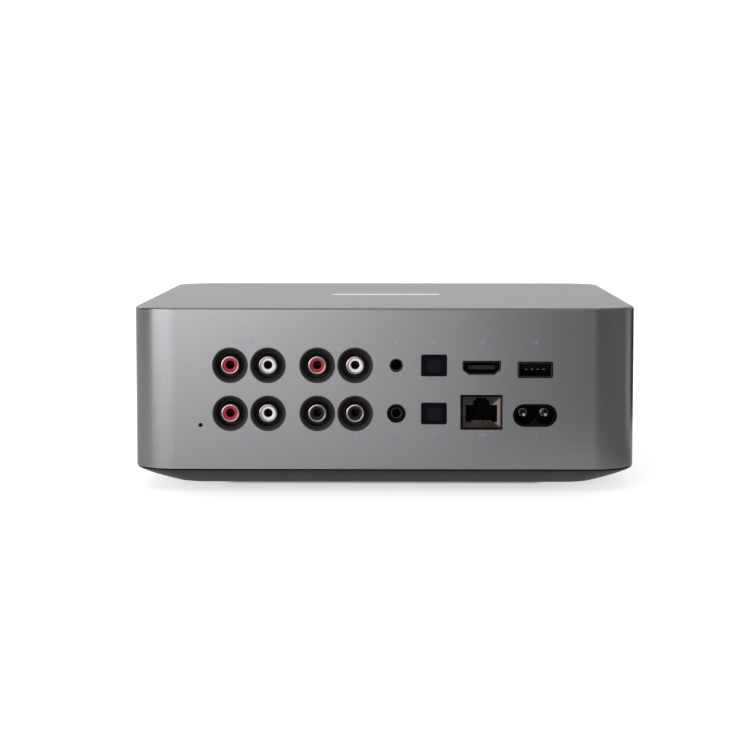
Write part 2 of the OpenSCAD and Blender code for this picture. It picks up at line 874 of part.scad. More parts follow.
module line_socket_block() {
  color("#1a1a1b") phono_block(phono_mid[0]);
}

module preout_socket_block() {
  color("#1a1a1b") phono_block(phono_mid[1]);
}

module phono_barrels() {
  outer = phono_barrel_d / 2;
  inner = phono_barrel_bore / 2;
  rim = phono_front - phono_lip;
  color("#c9c4bd") for (p = all_spots) translate([p[0], 0, p[1]]) turned_y()
    polygon([[inner, phono_floor], [outer, phono_floor], [outer, rim],
      [outer - phono_lip, phono_front], [inner + phono_lip, phono_front], [inner, rim]]);
}

// Coloured ring inside a barrel, a little behind its rim
module phono_insert(p) {
  outer = phono_barrel_bore / 2 - seat_fit;
  inner = phono_insert_bore / 2;
  front = phono_front - insert_in;
  translate([p[0], 0, p[1]]) turned_y()
    polygon([[inner, phono_floor], [outer, phono_floor], [outer, front],
      [inner + insert_lip, front], [inner, front - insert_lip]]);
}

module red_inserts() {
  color("#b3243a") for (p = red_spots) phono_insert(p);
}

module white_inserts() {
  color("#d9d5d2") for (p = white_spots) phono_insert(p);
}

module black_inserts() {
  color("#202024") for (p = black_spots) phono_insert(p);
}

module phono_contacts() {
  back = phono_floor - contact_back;
  front = phono_front - contact_in;
  color("#a98b4c") for (p = all_spots) translate([p[0], 0, p[1]]) along_y(back, front)
    difference() {
      circle(d = phono_insert_bore - 2 * seat_fit);
      circle(d = phono_pin_bore);
    }
}

// Earth bush and 3.5 mm jacks

module ground_terminal() {
  color("#2a2a2c") translate([-jack_x, 0, row_hi_z]) difference() {
    union() {
      along_y(rear_in - earth_flange, rear_in) circle(d = earth_hole_d + 2 * earth_flange);
      along_y(rear_in - earth_l, rear_in) circle(d = earth_bore + 2 * earth_wall);
    }
    along_y(rear_in - earth_l - cut, rear_in + cut) circle(d = earth_bore);
  }
}

// Plated sleeve that starts at inset behind a wall whose outer face is at y = 0
module jack_sleeve(inset) {
  along_y(-inset - sleeve_l, -inset) difference() {
    circle(jack_bore / 2 + jack_wall);
    circle(jack_bore / 2);
  }
}

// Pocket for that sleeve, open towards the plug
module sleeve_pocket(inset) {
  along_y(-inset - sleeve_l, -inset + face_in) circle(jack_bore / 2 + jack_wall + seat_fit);
}

// The rear jack's collar sits in the wall's hole, and its body stands on the main board
module trigger_jack() {
  collar_r = jack_hole_d / 2 - socket_fit;
  mouth_r = collar_r - jack_wall;
  neck_r = jack_bore / 2 + jack_mouth;
  color("#17171a") translate([-jack_x, rear_y, row_lo_z]) difference() {
    union() {
      along_y(-wall_t - cut, -face_in) circle(collar_r);
      box([-jack_w / 2, -wall_t - sleeve_l - jack_tail, -board_drop], [jack_w / 2, -wall_t, jack_head]);
    }
    turned_y() polygon([[0, -sleeve_in], [neck_r, -sleeve_in], [neck_r, -face_in - jack_dish],
      [mouth_r, -face_in], [mouth_r, cut], [0, cut]]);
    sleeve_pocket(sleeve_in);
  }
}

module trigger_sleeve() {
  color("#b9b6b0") translate([-jack_x, rear_y, row_lo_z]) jack_sleeve(sleeve_in);
}

// The headphone jack lies behind the front wall's hole and has a round recess in front of its sleeve
module headphone_jack() {
  color("#17171a") translate([phones_x, front_y, phones_z]) rotate([0, 0, 180]) difference() {
    box([-jack_w / 2, -wall_t - front_depth, -phones_low], [jack_w / 2, -wall_t, jack_head]);
    along_y(-phones_in, cut) circle(d = phones_mouth_d);
    sleeve_pocket(phones_in);
  }
}

module headphone_sleeve() {
  color("#b9b6b0") translate([phones_x, front_y, phones_z]) rotate([0, 0, 180]) jack_sleeve(phones_in);
}

// Optical sockets

// Housing that reaches from a board up to the socket, with its space and flap bearings
module optical_housing(z, z_foot) {
  half_w = optical_w / 2 + optical_pad;
  space_back = rear_y - optical_depth;
  translate([-optical_x, 0, z]) difference() {
    union() {
      along_y(rear_in - cut, rear_y - face_in)
        round_rect(optical_w - 2 * socket_fit, optical_h - 2 * socket_fit, optical_r - socket_fit);
      box([-half_w, rear_in - optical_l, z_foot - z], [half_w, rear_in, optical_h / 2 + optical_head]);
    }
    along_y(rear_y - frame_back - cut, rear_y + cut) optical_outline(0);
    box([-space_w / 2, space_back, space_low], [space_w / 2, rear_y - frame_back, space_top]);
    translate([0, flap_axis_y, flap_axis_z]) along_x(flap_pin_l + 2 * run_fit)
      circle(d = flap_pin_d + 2 * run_fit);
    along_y(space_back - lens_t, space_back + cut) circle(d = lens_d);
  }
}

// Flap with hinge pins at its top and a raised face that fills the slot
module optical_door(z) {
  plate = [flap_axis_y - flap_t / 2, flap_axis_y + flap_t / 2];
  translate([-optical_x, 0, z]) {
    box([-flap_w / 2, plate[0], space_low + flap_low], [flap_w / 2, plate[1], flap_axis_z]);
    translate([0, flap_axis_y, flap_axis_z]) along_x(flap_w) circle(d = flap_t);
    translate([0, flap_axis_y, flap_axis_z]) along_x(flap_pin_l) circle(d = flap_pin_d);
    along_y(plate[1] - flap_t / 2, rear_y - flap_in) optical_outline(flap_fit);
  }
}

// Round light window in the back of the space
module optical_lens(z) {
  space_back = rear_y - optical_depth;
  translate([-optical_x, 0, z]) along_y(space_back - lens_t, space_back)
    circle(d = lens_d - 2 * seat_fit);
}

module optical_in_housing() {
  color("#1c1c1e") optical_housing(row_hi_z, z_upper);
}

module optical_out_housing() {
  color("#1c1c1e") optical_housing(row_lo_z, z_board);
}

module optical_in_door() {
  color("#222225") optical_door(row_hi_z);
}

module optical_out_door() {
  color("#222225") optical_door(row_lo_z);
}

module optical_in_lens() {
  color("#5a2030") optical_lens(row_hi_z);
}

module optical_out_lens() {
  color("#b03030") optical_lens(row_lo_z);
}

// Video and data sockets

module video_shell() {
  back = rear_in - video_l;
  color("#b5b3b0") translate([-video_x, 0, video_z]) along_y(back, rear_y - face_in) difference() {
    video_outline(0);
    video_outline(sheet_t);
  }
}

// Insulator behind the shell, standing on the upper board, with a plug and its tongue in front
module video_tongue() {
  back = rear_in - video_l;
  color("#1b1b1d") translate([-video_x, 0, video_z]) {
    box([-video_w / 2, back - insulator_foot, z_upper - video_z], [video_w / 2, back, video_h / 2]);
    along_y(back - cut, back + insulator_l) video_outline(sheet_t + seat_fit);
    along_y(back, rear_y - video_tongue_in) square([video_tongue_w, video_tongue_t], center = true);
  }
}

module data_shell() {
  back = rear_in - data_l;
  foot_x = data_w / 2 - data_foot_w;
  color("#c4c2bf") translate([-power_x, 0, data_z]) {
    along_y(back, rear_y - data_lip_l) difference() {
      square([data_w, data_h], center = true);
      square([data_w - 2 * sheet_t, data_h - 2 * sheet_t], center = true);
    }
    along_y(rear_y - data_lip_l, rear_y - face_in) difference() {
      round_rect(data_w + 2 * lip_w, data_h + 2 * lip_w, data_lip_r);
      round_rect(data_w - 2 * sheet_t, data_h - 2 * sheet_t, sheet_t);
    }
    for (s = [-1, 1]) translate([s * foot_x, 0, 0]) box([-data_foot_w / 2, back, z_upper - data_z],
      [data_foot_w / 2, back + data_foot_l, sheet_t / 2 - data_h / 2]);
  }
}

module data_tongue() {
  back = rear_in - data_l;
  gap = sheet_t + seat_fit;
  color("#161618") translate([-power_x, 0, data_z]) {
    along_y(back, back + insulator_l) square([data_w - 2 * gap, data_h - 2 * gap], center = true);
    box([-data_tongue_w / 2, back, data_tongue_z[0]],
      [data_tongue_w / 2, rear_y - data_tongue_in, data_tongue_z[1]]);
  }
}

module data_contacts() {
  back = rear_in - data_l;
  color("#c8a450") for (i = [0 : 3]) translate([(i - 1.5) * data_pitch - power_x, 0, data_z])
    box([-data_contact_w / 2, back + insulator_l, data_tongue_z[0] - data_contact_t],
      [data_contact_w / 2, rear_y - data_contact_in, data_tongue_z[0]]);
}

// Network socket

module network_shield() {
  back = rear_in - net_l;
  front = rear_y - face_in;
  color("#bdb8b3") translate([-video_x, 0, net_z]) difference() {
    along_y(back, front) square([net_w, net_h], center = true);
    along_y(back - cut, front - sheet_t)
      square([net_w - 2 * sheet_t, net_h - 2 * sheet_t], center = true);
    along_y(front - cut, front + cut) network_outline();
  }
}

module network_insert() {
  back = rear_in - net_l;
  front = rear_y - face_in - sheet_t;
  gap = sheet_t + seat_fit;
  color("#17171a") translate([-video_x, 0, net_z]) difference() {
    union() {
      along_y(back - cut, front) square([net_w - 2 * gap, net_h - 2 * gap], center = true);
      box([-net_w / 2, back - net_foot, z_board - net_z], [net_w / 2, back, net_h / 2]);
    }
    along_y(front - net_slot_l, front + cut) network_outline();
  }
}

// Eight bent leaves that lie on the floor in front and rise towards the back of the plug's space
module network_contacts() {
  front = rear_y - face_in - sheet_t;
  back = front - net_slot_l;
  mouth = front - leaf_in;
  bend = back + leaf_flat;
  color("#c8a450") for (i = [0 : 7])
    translate([(i - 3.5) * net_pitch - video_x, 0, net_z + net_slot_low]) along_x(leaf_w)
      polygon([[mouth, 0], [mouth, leaf_t], [bend, leaf_rise + leaf_t], [back, leaf_rise + leaf_t],
        [back, leaf_rise], [bend, leaf_rise], [mouth - leaf_toe, 0]]);
}

// Mains inlet

module inlet_housing() {
  half_w = inlet_w / 2 + inlet_side;
  top = inlet_h / 2 + inlet_head;
  space_back = rear_y - inlet_depth;
  color("#161617") translate([-power_x, 0, inlet_z]) difference() {
    union() {
      along_y(rear_in - cut, rear_y - face_in)
        stadium(inlet_w - 2 * socket_fit, inlet_h - 2 * socket_fit);
      box([-half_w, rear_in - inlet_l, z_board - inlet_z], [half_w, rear_in, top]);
    }
    along_y(space_back, rear_y + cut) inlet_outline();
    for (s = [-1, 1]) translate([s * inlet_pitch / 2, 0, 0])
      along_y(rear_in - inlet_l - cut, space_back + cut) circle(d = inlet_pin_d + 2 * seat_fit);
  }
}

module inlet_pins() {
  tip = rear_y - inlet_pin_in;
  back = rear_in - inlet_l;
  r = inlet_pin_d / 2;
  color("#d2d0cc") for (s = [-1, 1])
    translate([s * inlet_pitch / 2 - power_x, 0, inlet_z]) turned_y()
      polygon([[0, back], [r, back], [r, tip - inlet_nose], [r - inlet_nose, tip], [0, tip]]);
}

// Reset switch

module reset_switch() {
  bore_back = reset_tip - reset_l - reset_travel - reset_end;
  color("#2b2b2e") translate([reset_x, 0, reset_z]) difference() {
    box([-reset_half_w, reset_front - reset_body_l, z_board - reset_z],
      [reset_half_w, reset_front, reset_half_w]);
    along_y(bore_back, reset_front + cut) circle(d = reset_d + 2 * run_fit);
  }
}

module reset_plunger() {
  color("#3a3a3f") translate([reset_x, 0, reset_z]) along_y(reset_tip - reset_l, reset_tip)
    circle(d = reset_d);
}

// Display

module display_glass() {
  color("#0b0b0d") translate([display_x, 0, display_z]) along_y(front_y, front_y + glass_t)
    round_rect(glass_w, glass_h, glass_r);
}

module display_panel() {
  color("#3b3d42") translate([display_x, 0, display_z]) along_y(front_in, panel_back)
    square([panel_w, panel_h], center = true);
}

module display_frame() {
  color("#4a4a4e") translate([display_x, 0, display_z]) along_y(panel_back, front_board_y)
    difference() {
      square([panel_w, panel_h], center = true);
      square([panel_w - 2 * frame_t, panel_h - 2 * frame_t], center = true);
    }
}

// Flat cable from the back of the panel down and round to the front board
module display_ribbon() {
  bend_r = (front_board_y - panel_back) / 2;
  bend_z = display_z - display_cable_drop;
  color("#c47a2a") translate([display_x, panel_back + bend_r, bend_z]) along_x(display_cable_w) {
    difference() {
      circle(bend_r);
      circle(bend_r - cable_t);
      translate([-2 * bend_r, 0]) square(4 * bend_r);
    }
    for (y = [-bend_r, bend_r - cable_t]) translate([y, 0]) square([cable_t, cable_tab]);
  }
}

// Front board

module front_board() {
  color("#1f5a3a") difference() {
    box([-board_half_w, front_board_y, front_board_z[0]],
      [board_half_w, front_board_y + board_t, front_board_z[1]]);
    for (p = front_fix) translate([p[0], 0, p[1]])
      along_y(front_board_y - cut, front_board_y + board_t + cut) circle(d = screw_d + 2 * screw_fit);
  }
}

module front_screws() {
  color("#c8c9cc") for (p = front_fix)
    translate([p[0], front_board_y + board_t, p[1]]) rotate([-90, 0, 0]) screw(screw_l);
}

// Flat cable from the back of the front board down onto the main board
module front_ribbon() {
  start = front_board_y + board_t;
  bend_r = board_front - start + front_cable_in;
  bend_x = display_x + front_cable_w;
  color("#c47a2a") translate([bend_x, start + bend_r, z_board + bend_r]) along_x(front_cable_w) {
    difference() {
      circle(bend_r);
      circle(bend_r - cable_t);
      translate([-2 * bend_r, 0]) square(4 * bend_r);
      translate([0, -2 * bend_r]) square([2 * bend_r, 4 * bend_r]);
    }
    translate([-bend_r, 0]) square([cable_t, cable_tab]);
    translate([0, -bend_r]) square([cable_tab, cable_t]);
  }
}

// Volume knob

module knob_cap() {
  r = knob_d / 2;
  color("#b4b4b8") translate([knob_x, 0, knob_z]) turned_y()
    polygon([[0, knob_front], [r - cap_bevel, knob_front], [r, knob_front + cap_bevel],
      [r, knob_back], [r - cap_rim, knob_back], [r - cap_rim, hub_front], [0, hub_front]]);
}

module knob_hub() {
  disc_r = knob_d / 2 - cap_rim - seat_fit;
  disc_back = knob_back - hub_disc_gap;
  bore_r = shaft_d / 2 + seat_fit;
  color("#2c2c2f") translate([knob_x, 0, knob_z]) turned_y()
    polygon([[0, hub_front], [disc_r, hub_front], [disc_r, disc_back], [hub_d / 2, disc_back],
      [hub_d / 2, hub_back], [bore_r, hub_back], [bore_r, shaft_front], [0, shaft_front]]);
}

module encoder_shaft() {
  color("#9a9ca0") translate([knob_x, 0, knob_z]) along_y(shaft_front, switch_front)
    circle(d = shaft_d);
}

module encoder_body() {
  color("#4c5a4c") translate([knob_x, 0, knob_z]) difference() {
    union() {
      along_y(encoder_front, front_board_y) square(encoder_side, center = true);
      along_y(bush_front, encoder_front + cut) circle(d = bush_d);
    }
    along_y(bush_front - cut, switch_front + push_travel + push_clear)
      circle(d = shaft_d + 2 * run_fit);
    along_y(switch_front, front_board_y + cut) circle(d = plunger_d + 2 * run_fit);
  }
}

module push_plunger() {
  color("#d8d2c0") translate([knob_x, 0, knob_z]) along_y(switch_front + run_fit, plunger_back)
    circle(d = plunger_d);
}

// Parts on the boards

module transformer() {
  color("#3d3a36") translate([power_mid, core_y, z_board]) {
    linear_extrude(core_h) square([core_w, core_l], center = true);
    linear_extrude(coil_h) square([coil_w, coil_l], center = true);
  }
}

module bulk_capacitor() {
  r = bulk_d / 2;
  waist_z = bulk_groove_z + bulk_groove;
  color("#26282e") translate([power_mid, bulk_y, z_board]) rotate_extrude()
    polygon([[0, 0], [r, 0], [r, bulk_groove_z], [r - bulk_groove, waist_z],
      [r, waist_z + bulk_groove], [r, bulk_h - bulk_bevel], [r - bulk_bevel, bulk_h], [0, bulk_h]]);
}

module heat_sink() {
  fin_pitch = (sink_w - fin_t) / (fins - 1);
  color("#2e3033") translate([sink_x, sink_y, z_board]) {
    linear_extrude(sink_base) square(sink_w, center = true);
    for (i = [0 : fins - 1]) translate([(i - (fins - 1) / 2) * fin_pitch, 0, 0])
      linear_extrude(sink_h) square([fin_t, sink_w], center = true);
  }
}

module wireless_module() {
  x = main_x[1] - card_side - card_w / 2;
  can_x = card_w / 2 - can_w / 2 - can_edge;
  color("#b9bbbd") translate([x, board_front + card_front + card_l / 2, z_board]) {
    linear_extrude(card_t) square([card_w, card_l], center = true);
    translate([can_x, 0, 0]) linear_extrude(can_h) square([can_w, can_l], center = true);
  }
}

module audio_capacitors() {
  color("#1f4f8a") for (x = phono_cols)
    translate([x, rear_in - phono_block_l - audio_can_d, z_board])
      cylinder(d = audio_can_d, h = audio_can_h);
}

case_shell();
top_inlay();
base_cover();
foot_pad();
base_screws();
chassis_plate();
chassis_screws();
board_spacers();
main_board();
power_board();
upper_board();
board_screws();
link_header();
line_socket_block();
preout_socket_block();
phono_barrels();
red_inserts();
white_inserts();
black_inserts();
phono_contacts();
ground_terminal();
trigger_jack();
trigger_sleeve();
optical_in_housing();
optical_in_door();
optical_in_lens();
optical_out_housing();
optical_out_door();
optical_out_lens();
video_shell();
video_tongue();
data_shell();
data_tongue();
data_contacts();
network_shield();
network_insert();
network_contacts();
inlet_housing();
inlet_pins();
reset_switch();
reset_plunger();
display_glass();
display_panel();
display_frame();
display_ribbon();
front_board();
front_screws();
front_ribbon();
knob_cap();
knob_hub();
encoder_shaft();
encoder_body();
push_plunger();
headphone_jack();
headphone_sleeve();
transformer();
bulk_capacitor();
heat_sink();
wireless_module();
audio_capacitors();
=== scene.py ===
# %% [markdown]
# # A network music streamer
# The unit is a squarish aluminium case on a dark tapered base, and the photograph shows its rear
# wall with two rows of sockets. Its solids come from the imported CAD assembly, so every piece is
# already in its place, in metres. This script gives each piece its finish, adds the fine forms that
# a solid model leaves plain, and sets the studio.

import json
import math

import bmesh
import bpy
import numpy as np
from mathutils import Matrix, Vector

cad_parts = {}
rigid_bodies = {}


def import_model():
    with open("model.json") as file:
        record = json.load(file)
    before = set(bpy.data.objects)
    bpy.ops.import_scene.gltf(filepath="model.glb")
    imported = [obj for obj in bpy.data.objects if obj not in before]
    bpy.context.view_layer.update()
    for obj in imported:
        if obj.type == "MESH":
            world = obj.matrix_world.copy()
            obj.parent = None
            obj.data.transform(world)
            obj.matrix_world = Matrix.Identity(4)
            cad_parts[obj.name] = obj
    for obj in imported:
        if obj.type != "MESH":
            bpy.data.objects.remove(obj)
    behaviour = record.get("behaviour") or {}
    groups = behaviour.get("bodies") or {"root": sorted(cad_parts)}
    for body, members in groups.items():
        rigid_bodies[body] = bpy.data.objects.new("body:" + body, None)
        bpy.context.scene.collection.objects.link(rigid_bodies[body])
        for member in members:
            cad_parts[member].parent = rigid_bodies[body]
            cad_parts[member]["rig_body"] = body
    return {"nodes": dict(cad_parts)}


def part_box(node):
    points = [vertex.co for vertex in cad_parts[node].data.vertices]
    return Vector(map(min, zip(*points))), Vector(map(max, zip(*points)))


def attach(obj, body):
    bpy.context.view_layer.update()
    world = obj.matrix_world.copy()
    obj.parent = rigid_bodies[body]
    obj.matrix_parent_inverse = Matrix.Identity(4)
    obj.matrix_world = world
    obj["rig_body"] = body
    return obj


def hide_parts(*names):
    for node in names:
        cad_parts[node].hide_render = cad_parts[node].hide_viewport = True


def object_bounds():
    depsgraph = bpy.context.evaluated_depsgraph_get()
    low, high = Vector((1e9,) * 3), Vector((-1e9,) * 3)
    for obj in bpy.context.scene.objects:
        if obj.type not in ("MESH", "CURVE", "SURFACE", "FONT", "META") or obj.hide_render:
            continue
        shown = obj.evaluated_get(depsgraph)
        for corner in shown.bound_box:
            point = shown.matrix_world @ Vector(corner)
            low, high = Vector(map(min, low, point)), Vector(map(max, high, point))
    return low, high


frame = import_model()
nodes = frame["nodes"]
cad_low, cad_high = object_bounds()
scene = bpy.context.scene
scene.view_settings.view_transform = "Standard"
MM = 0.001
print("loaded", len(nodes), "nodes, size in mm", [round(v / MM, 2) for v in cad_high - cad_low])

# %% [markdown]
# ## The camera
# The photograph was taken from behind the unit, from a little above. The focal length and the place
# of the lens were worked out from the straight edges and the round holes of the case, whose sizes
# the solids have. A camera that looks along a given direction is a matrix of three axes: right, up
# and backwards.

# %% Camera
FOCAL_PIXELS = 2198.95
PICTURE_PIXELS = 750
SENSOR_MM = 36.0
EYE_MM = Vector((-7.10, 965.69, 125.44))
PITCH, YAW = math.radians(5.21), math.radians(-0.71)
CLIP_NEAR, CLIP_FAR = 0.05, 20.0

forward = Vector(
    (-math.sin(YAW) * math.cos(PITCH), -math.cos(YAW) * math.cos(PITCH), -math.sin(PITCH))
)
right = Vector((-math.cos(YAW), math.sin(YAW), 0.0))
up = right.cross(forward)
lens = bpy.data.cameras.new("photo_camera")
lens.sensor_width = SENSOR_MM
lens.lens = FOCAL_PIXELS / PICTURE_PIXELS * SENSOR_MM
lens.clip_start, lens.clip_end = CLIP_NEAR, CLIP_FAR
camera = bpy.data.objects.new("photo_camera", lens)
scene.collection.objects.link(camera)
facing = Matrix((right, up, -forward)).transposed().to_4x4()
camera.matrix_world = Matrix.Translation(EYE_MM * MM) @ facing
scene.camera = camera
print("camera", [round(v, 4) for v in camera.location], "lens", round(lens.lens, 2), "mm")

# %% [markdown]
# ## Helpers for surfaces
# Every new form is a surface worked out with numpy: points on a grid of two parameters, joined by
# quads. One helper numbers the quads, one rounds the corners of a profile, one turns a profile
# about an axis, and one makes the piece.


# %% Grid, rounded profile and turned surface
def grid_faces(rows, columns, ring_rows=False, ring_columns=False):
    """Quads of a grid of points stored row by row. A ring joins the last row or column to the
    first one."""
    i, j = np.meshgrid(
        np.arange(rows if ring_rows else rows - 1),
        np.arange(columns if ring_columns else columns - 1),
        indexing="ij",
    )
    k, m = (i + 1) % rows, (j + 1) % columns
    quads = [i * columns + j, i * columns + m, k * columns + m, k * columns + j]
    return np.stack(quads, -1).reshape(-1, 4)


def rounded(corners, reach, steps=7):
    """Closed outline with its corners rounded. At each corner a quadratic curve leaves one side at
    the distance reach, is drawn towards the corner and joins the next side at the same distance."""
    corner = np.asarray(corners, float)
    reach = np.broadcast_to(np.asarray(reach, float), len(corner))[:, None]
    before, after = np.roll(corner, 1, 0) - corner, np.roll(corner, -1, 0) - corner
    start = corner + before / np.linalg.norm(before, axis=1)[:, None] * reach
    end = corner + after / np.linalg.norm(after, axis=1)[:, None] * reach
    t = np.linspace(0, 1, steps)[None, :, None]
    curve = (1 - t) ** 2 * start[:, None] + 2 * t * (1 - t) * corner[:, None] + t**2 * end[:, None]
    return curve.reshape(-1, 2)


def turned(profile, centre, steps):
    """Surface turned about an axis along Y. A profile of radius and Y goes once round the axis
    through centre: X is the centre's plus radius times the cosine of the angle, and Z the centre's
    plus radius times its sine."""
    angle = np.linspace(0, 2 * np.pi, steps, endpoint=False)
    radius, along = np.asarray(profile, float).T
    x = centre[0] + radius[:, None] * np.cos(angle)
    z = centre[1] + radius[:, None] * np.sin(angle)
    return np.stack([x, np.broadcast_to(along[:, None], x.shape), z], -1).reshape(-1, 3)


print("helpers: grid_faces, rounded, turned")


# %% Make a piece
SAME_POINT = 1e-7


def make_piece(name, points_mm, faces, material, body, slot, stands_for=(), crease=35):
    """Piece from points in millimetres. Doubles are merged, faces turned outwards, and shading is
    smooth up to the crease angle in degrees."""
    mesh = bpy.data.meshes.new(name)
    mesh.from_pydata((np.asarray(points_mm) * MM).tolist(), [], np.asarray(faces).tolist())
    form = bmesh.new()
    form.from_mesh(mesh)
    bmesh.ops.remove_doubles(form, verts=form.verts, dist=SAME_POINT)
    bmesh.ops.recalc_face_normals(form, faces=form.faces)
    form.to_mesh(mesh)
    form.free()
    mesh.shade_smooth()
    mesh.set_sharp_from_angle(angle=math.radians(crease))
    piece = bpy.data.objects.new(name, mesh)
    scene.collection.objects.link(piece)
    piece.data.materials.append(material)
    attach(piece, body)
    if stands_for:
        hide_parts(*stands_for)
    print("piece", name, len(mesh.polygons), "faces")
    return piece


def many(points, faces, offsets):
    """Copies of one surface: each offset is added to all points, and the faces are numbered on."""
    points, faces, offsets = np.asarray(points), np.asarray(faces), np.asarray(offsets, float)
    moved = (points[None] + offsets[:, None]).reshape(-1, 3)
    numbered = faces[None] + (np.arange(len(offsets)) * len(points))[:, None, None]
    return moved, numbered.reshape(-1, faces.shape[1])


print("helpers: make_piece, many")

# %% [markdown]
# ## Finishes
# Real finishes are never one flat colour. Each material here reads the object's own coordinates: a
# broad noise makes the colour drift a little, and a fine noise varies the roughness and raises a
# grain of a few micrometres. What is the same all over a surface, such as metalness, stays a plain
# number on the shader.


# %% Finish helpers
NOISE_LOW, NOISE_HIGH = 0.3, 0.7
# A Mix node has sockets for every type of value. These are the numbers of the first, the second
# and the mixed one.
MIX_SOCKETS = {"VECTOR": (4, 5, 1), "RGBA": (6, 7, 2)}


def start_material(name, metal):
    """New material with its node tree, shader and the object's coordinates."""
    material = bpy.data.materials.new(name)
    material.use_nodes = True
    tree = material.node_tree
    shader = tree.nodes["Principled BSDF"]
    shader.inputs["Metallic"].default_value = metal
    place = tree.nodes.new("ShaderNodeTexCoord").outputs["Object"]
    return material, tree, shader, place


def noise(tree, place, scale, detail):
    """Noise of a given number of features to the metre."""
    node = tree.nodes.new("ShaderNodeTexNoise")
    node.inputs["Scale"].default_value = scale
    node.inputs["Detail"].default_value = detail
    tree.links.new(place, node.inputs["Vector"])
    return node.outputs["Fac"]


def between(tree, fac, low, high):
    """Maps a value that mostly lies from NOISE_LOW to NOISE_HIGH, as a noise does, onto the range
    from low to high with soft ends."""
    node = tree.nodes.new("ShaderNodeMapRange")
    node.interpolation_type = "SMOOTHSTEP"
    node.inputs["From Min"].default_value = NOISE_LOW
    node.inputs["From Max"].default_value = NOISE_HIGH
    node.inputs["To Min"].default_value, node.inputs["To Max"].default_value = low, high
    tree.links.new(fac, node.inputs["Value"])
    return node.outputs["Result"]


def blend(tree, fac, first, second, kind="RGBA"):
    """Mixes two colours, or two vectors, by a factor. Each is a socket or a plain colour."""
    node = tree.nodes.new("ShaderNodeMix")
    node.data_type = kind
    *places, mixed = MIX_SOCKETS[kind]
    tree.links.new(fac, node.inputs[0])
    for place, value in zip(places, (first, second)):
        if isinstance(value, tuple):
            node.inputs[place].default_value = (*value, 1)
        else:
            tree.links.new(value, node.inputs[place])
    return node.outputs[mixed]


def bump(tree, height, depth_mm):
    """Normal of a surface that rises by depth_mm where height is 1."""
    node = tree.nodes.new("ShaderNodeBump")
    node.inputs["Strength"].default_value = 1.0
    node.inputs["Distance"].default_value = depth_mm * MM
    tree.links.new(height, node.inputs["Height"])
    return node.outputs["Normal"]


print("helpers: start_material, noise, between, blend, bump")


# %% Helpers for sums
def reckon(tree, operation, *values):
    """Sum, difference or other result of sockets."""
    node = tree.nodes.new("ShaderNodeMath")
    node.operation = operation
    for place, value in zip(node.inputs, values):
        tree.links.new(value, place)
    return node.outputs[0]


def ramp(tree, value, low, high):
    """0 up to low, 1 from high on, and an even rise in between."""
    node = tree.nodes.new("ShaderNodeMapRange")
    node.inputs["From Min"].default_value, node.inputs["From Max"].default_value = low, high
    tree.links.new(value, node.inputs["Value"])
    return node.outputs["Result"]


print("helpers: reckon, ramp")


# %% Plain finishes
BROAD_SCALE, BROAD_DETAIL, FINE_DETAIL = 60.0, 4.0, 3.0


def finish(slot, colour, metal, rough, grain, depth_mm, drift=0.08, shine=0.5):
    """Finish with a drifting colour, a varying roughness and a raised grain of grain features to
    the metre."""
    material, tree, shader, place = start_material(slot, metal)
    broad = between(tree, noise(tree, place, BROAD_SCALE, BROAD_DETAIL), 0.0, 1.0)
    fine = noise(tree, place, grain, FINE_DETAIL)
    dark, light = (tuple(c * (1 + s * drift) for c in colour) for s in (-1, 1))
    tree.links.new(blend(tree, broad, dark, light), shader.inputs["Base Color"])
    tree.links.new(between(tree, fine, *rough), shader.inputs["Roughness"])
    shader.inputs["Specular IOR Level"].default_value = shine
    tree.links.new(bump(tree, fine, depth_mm), shader.inputs["Normal"])
    return material


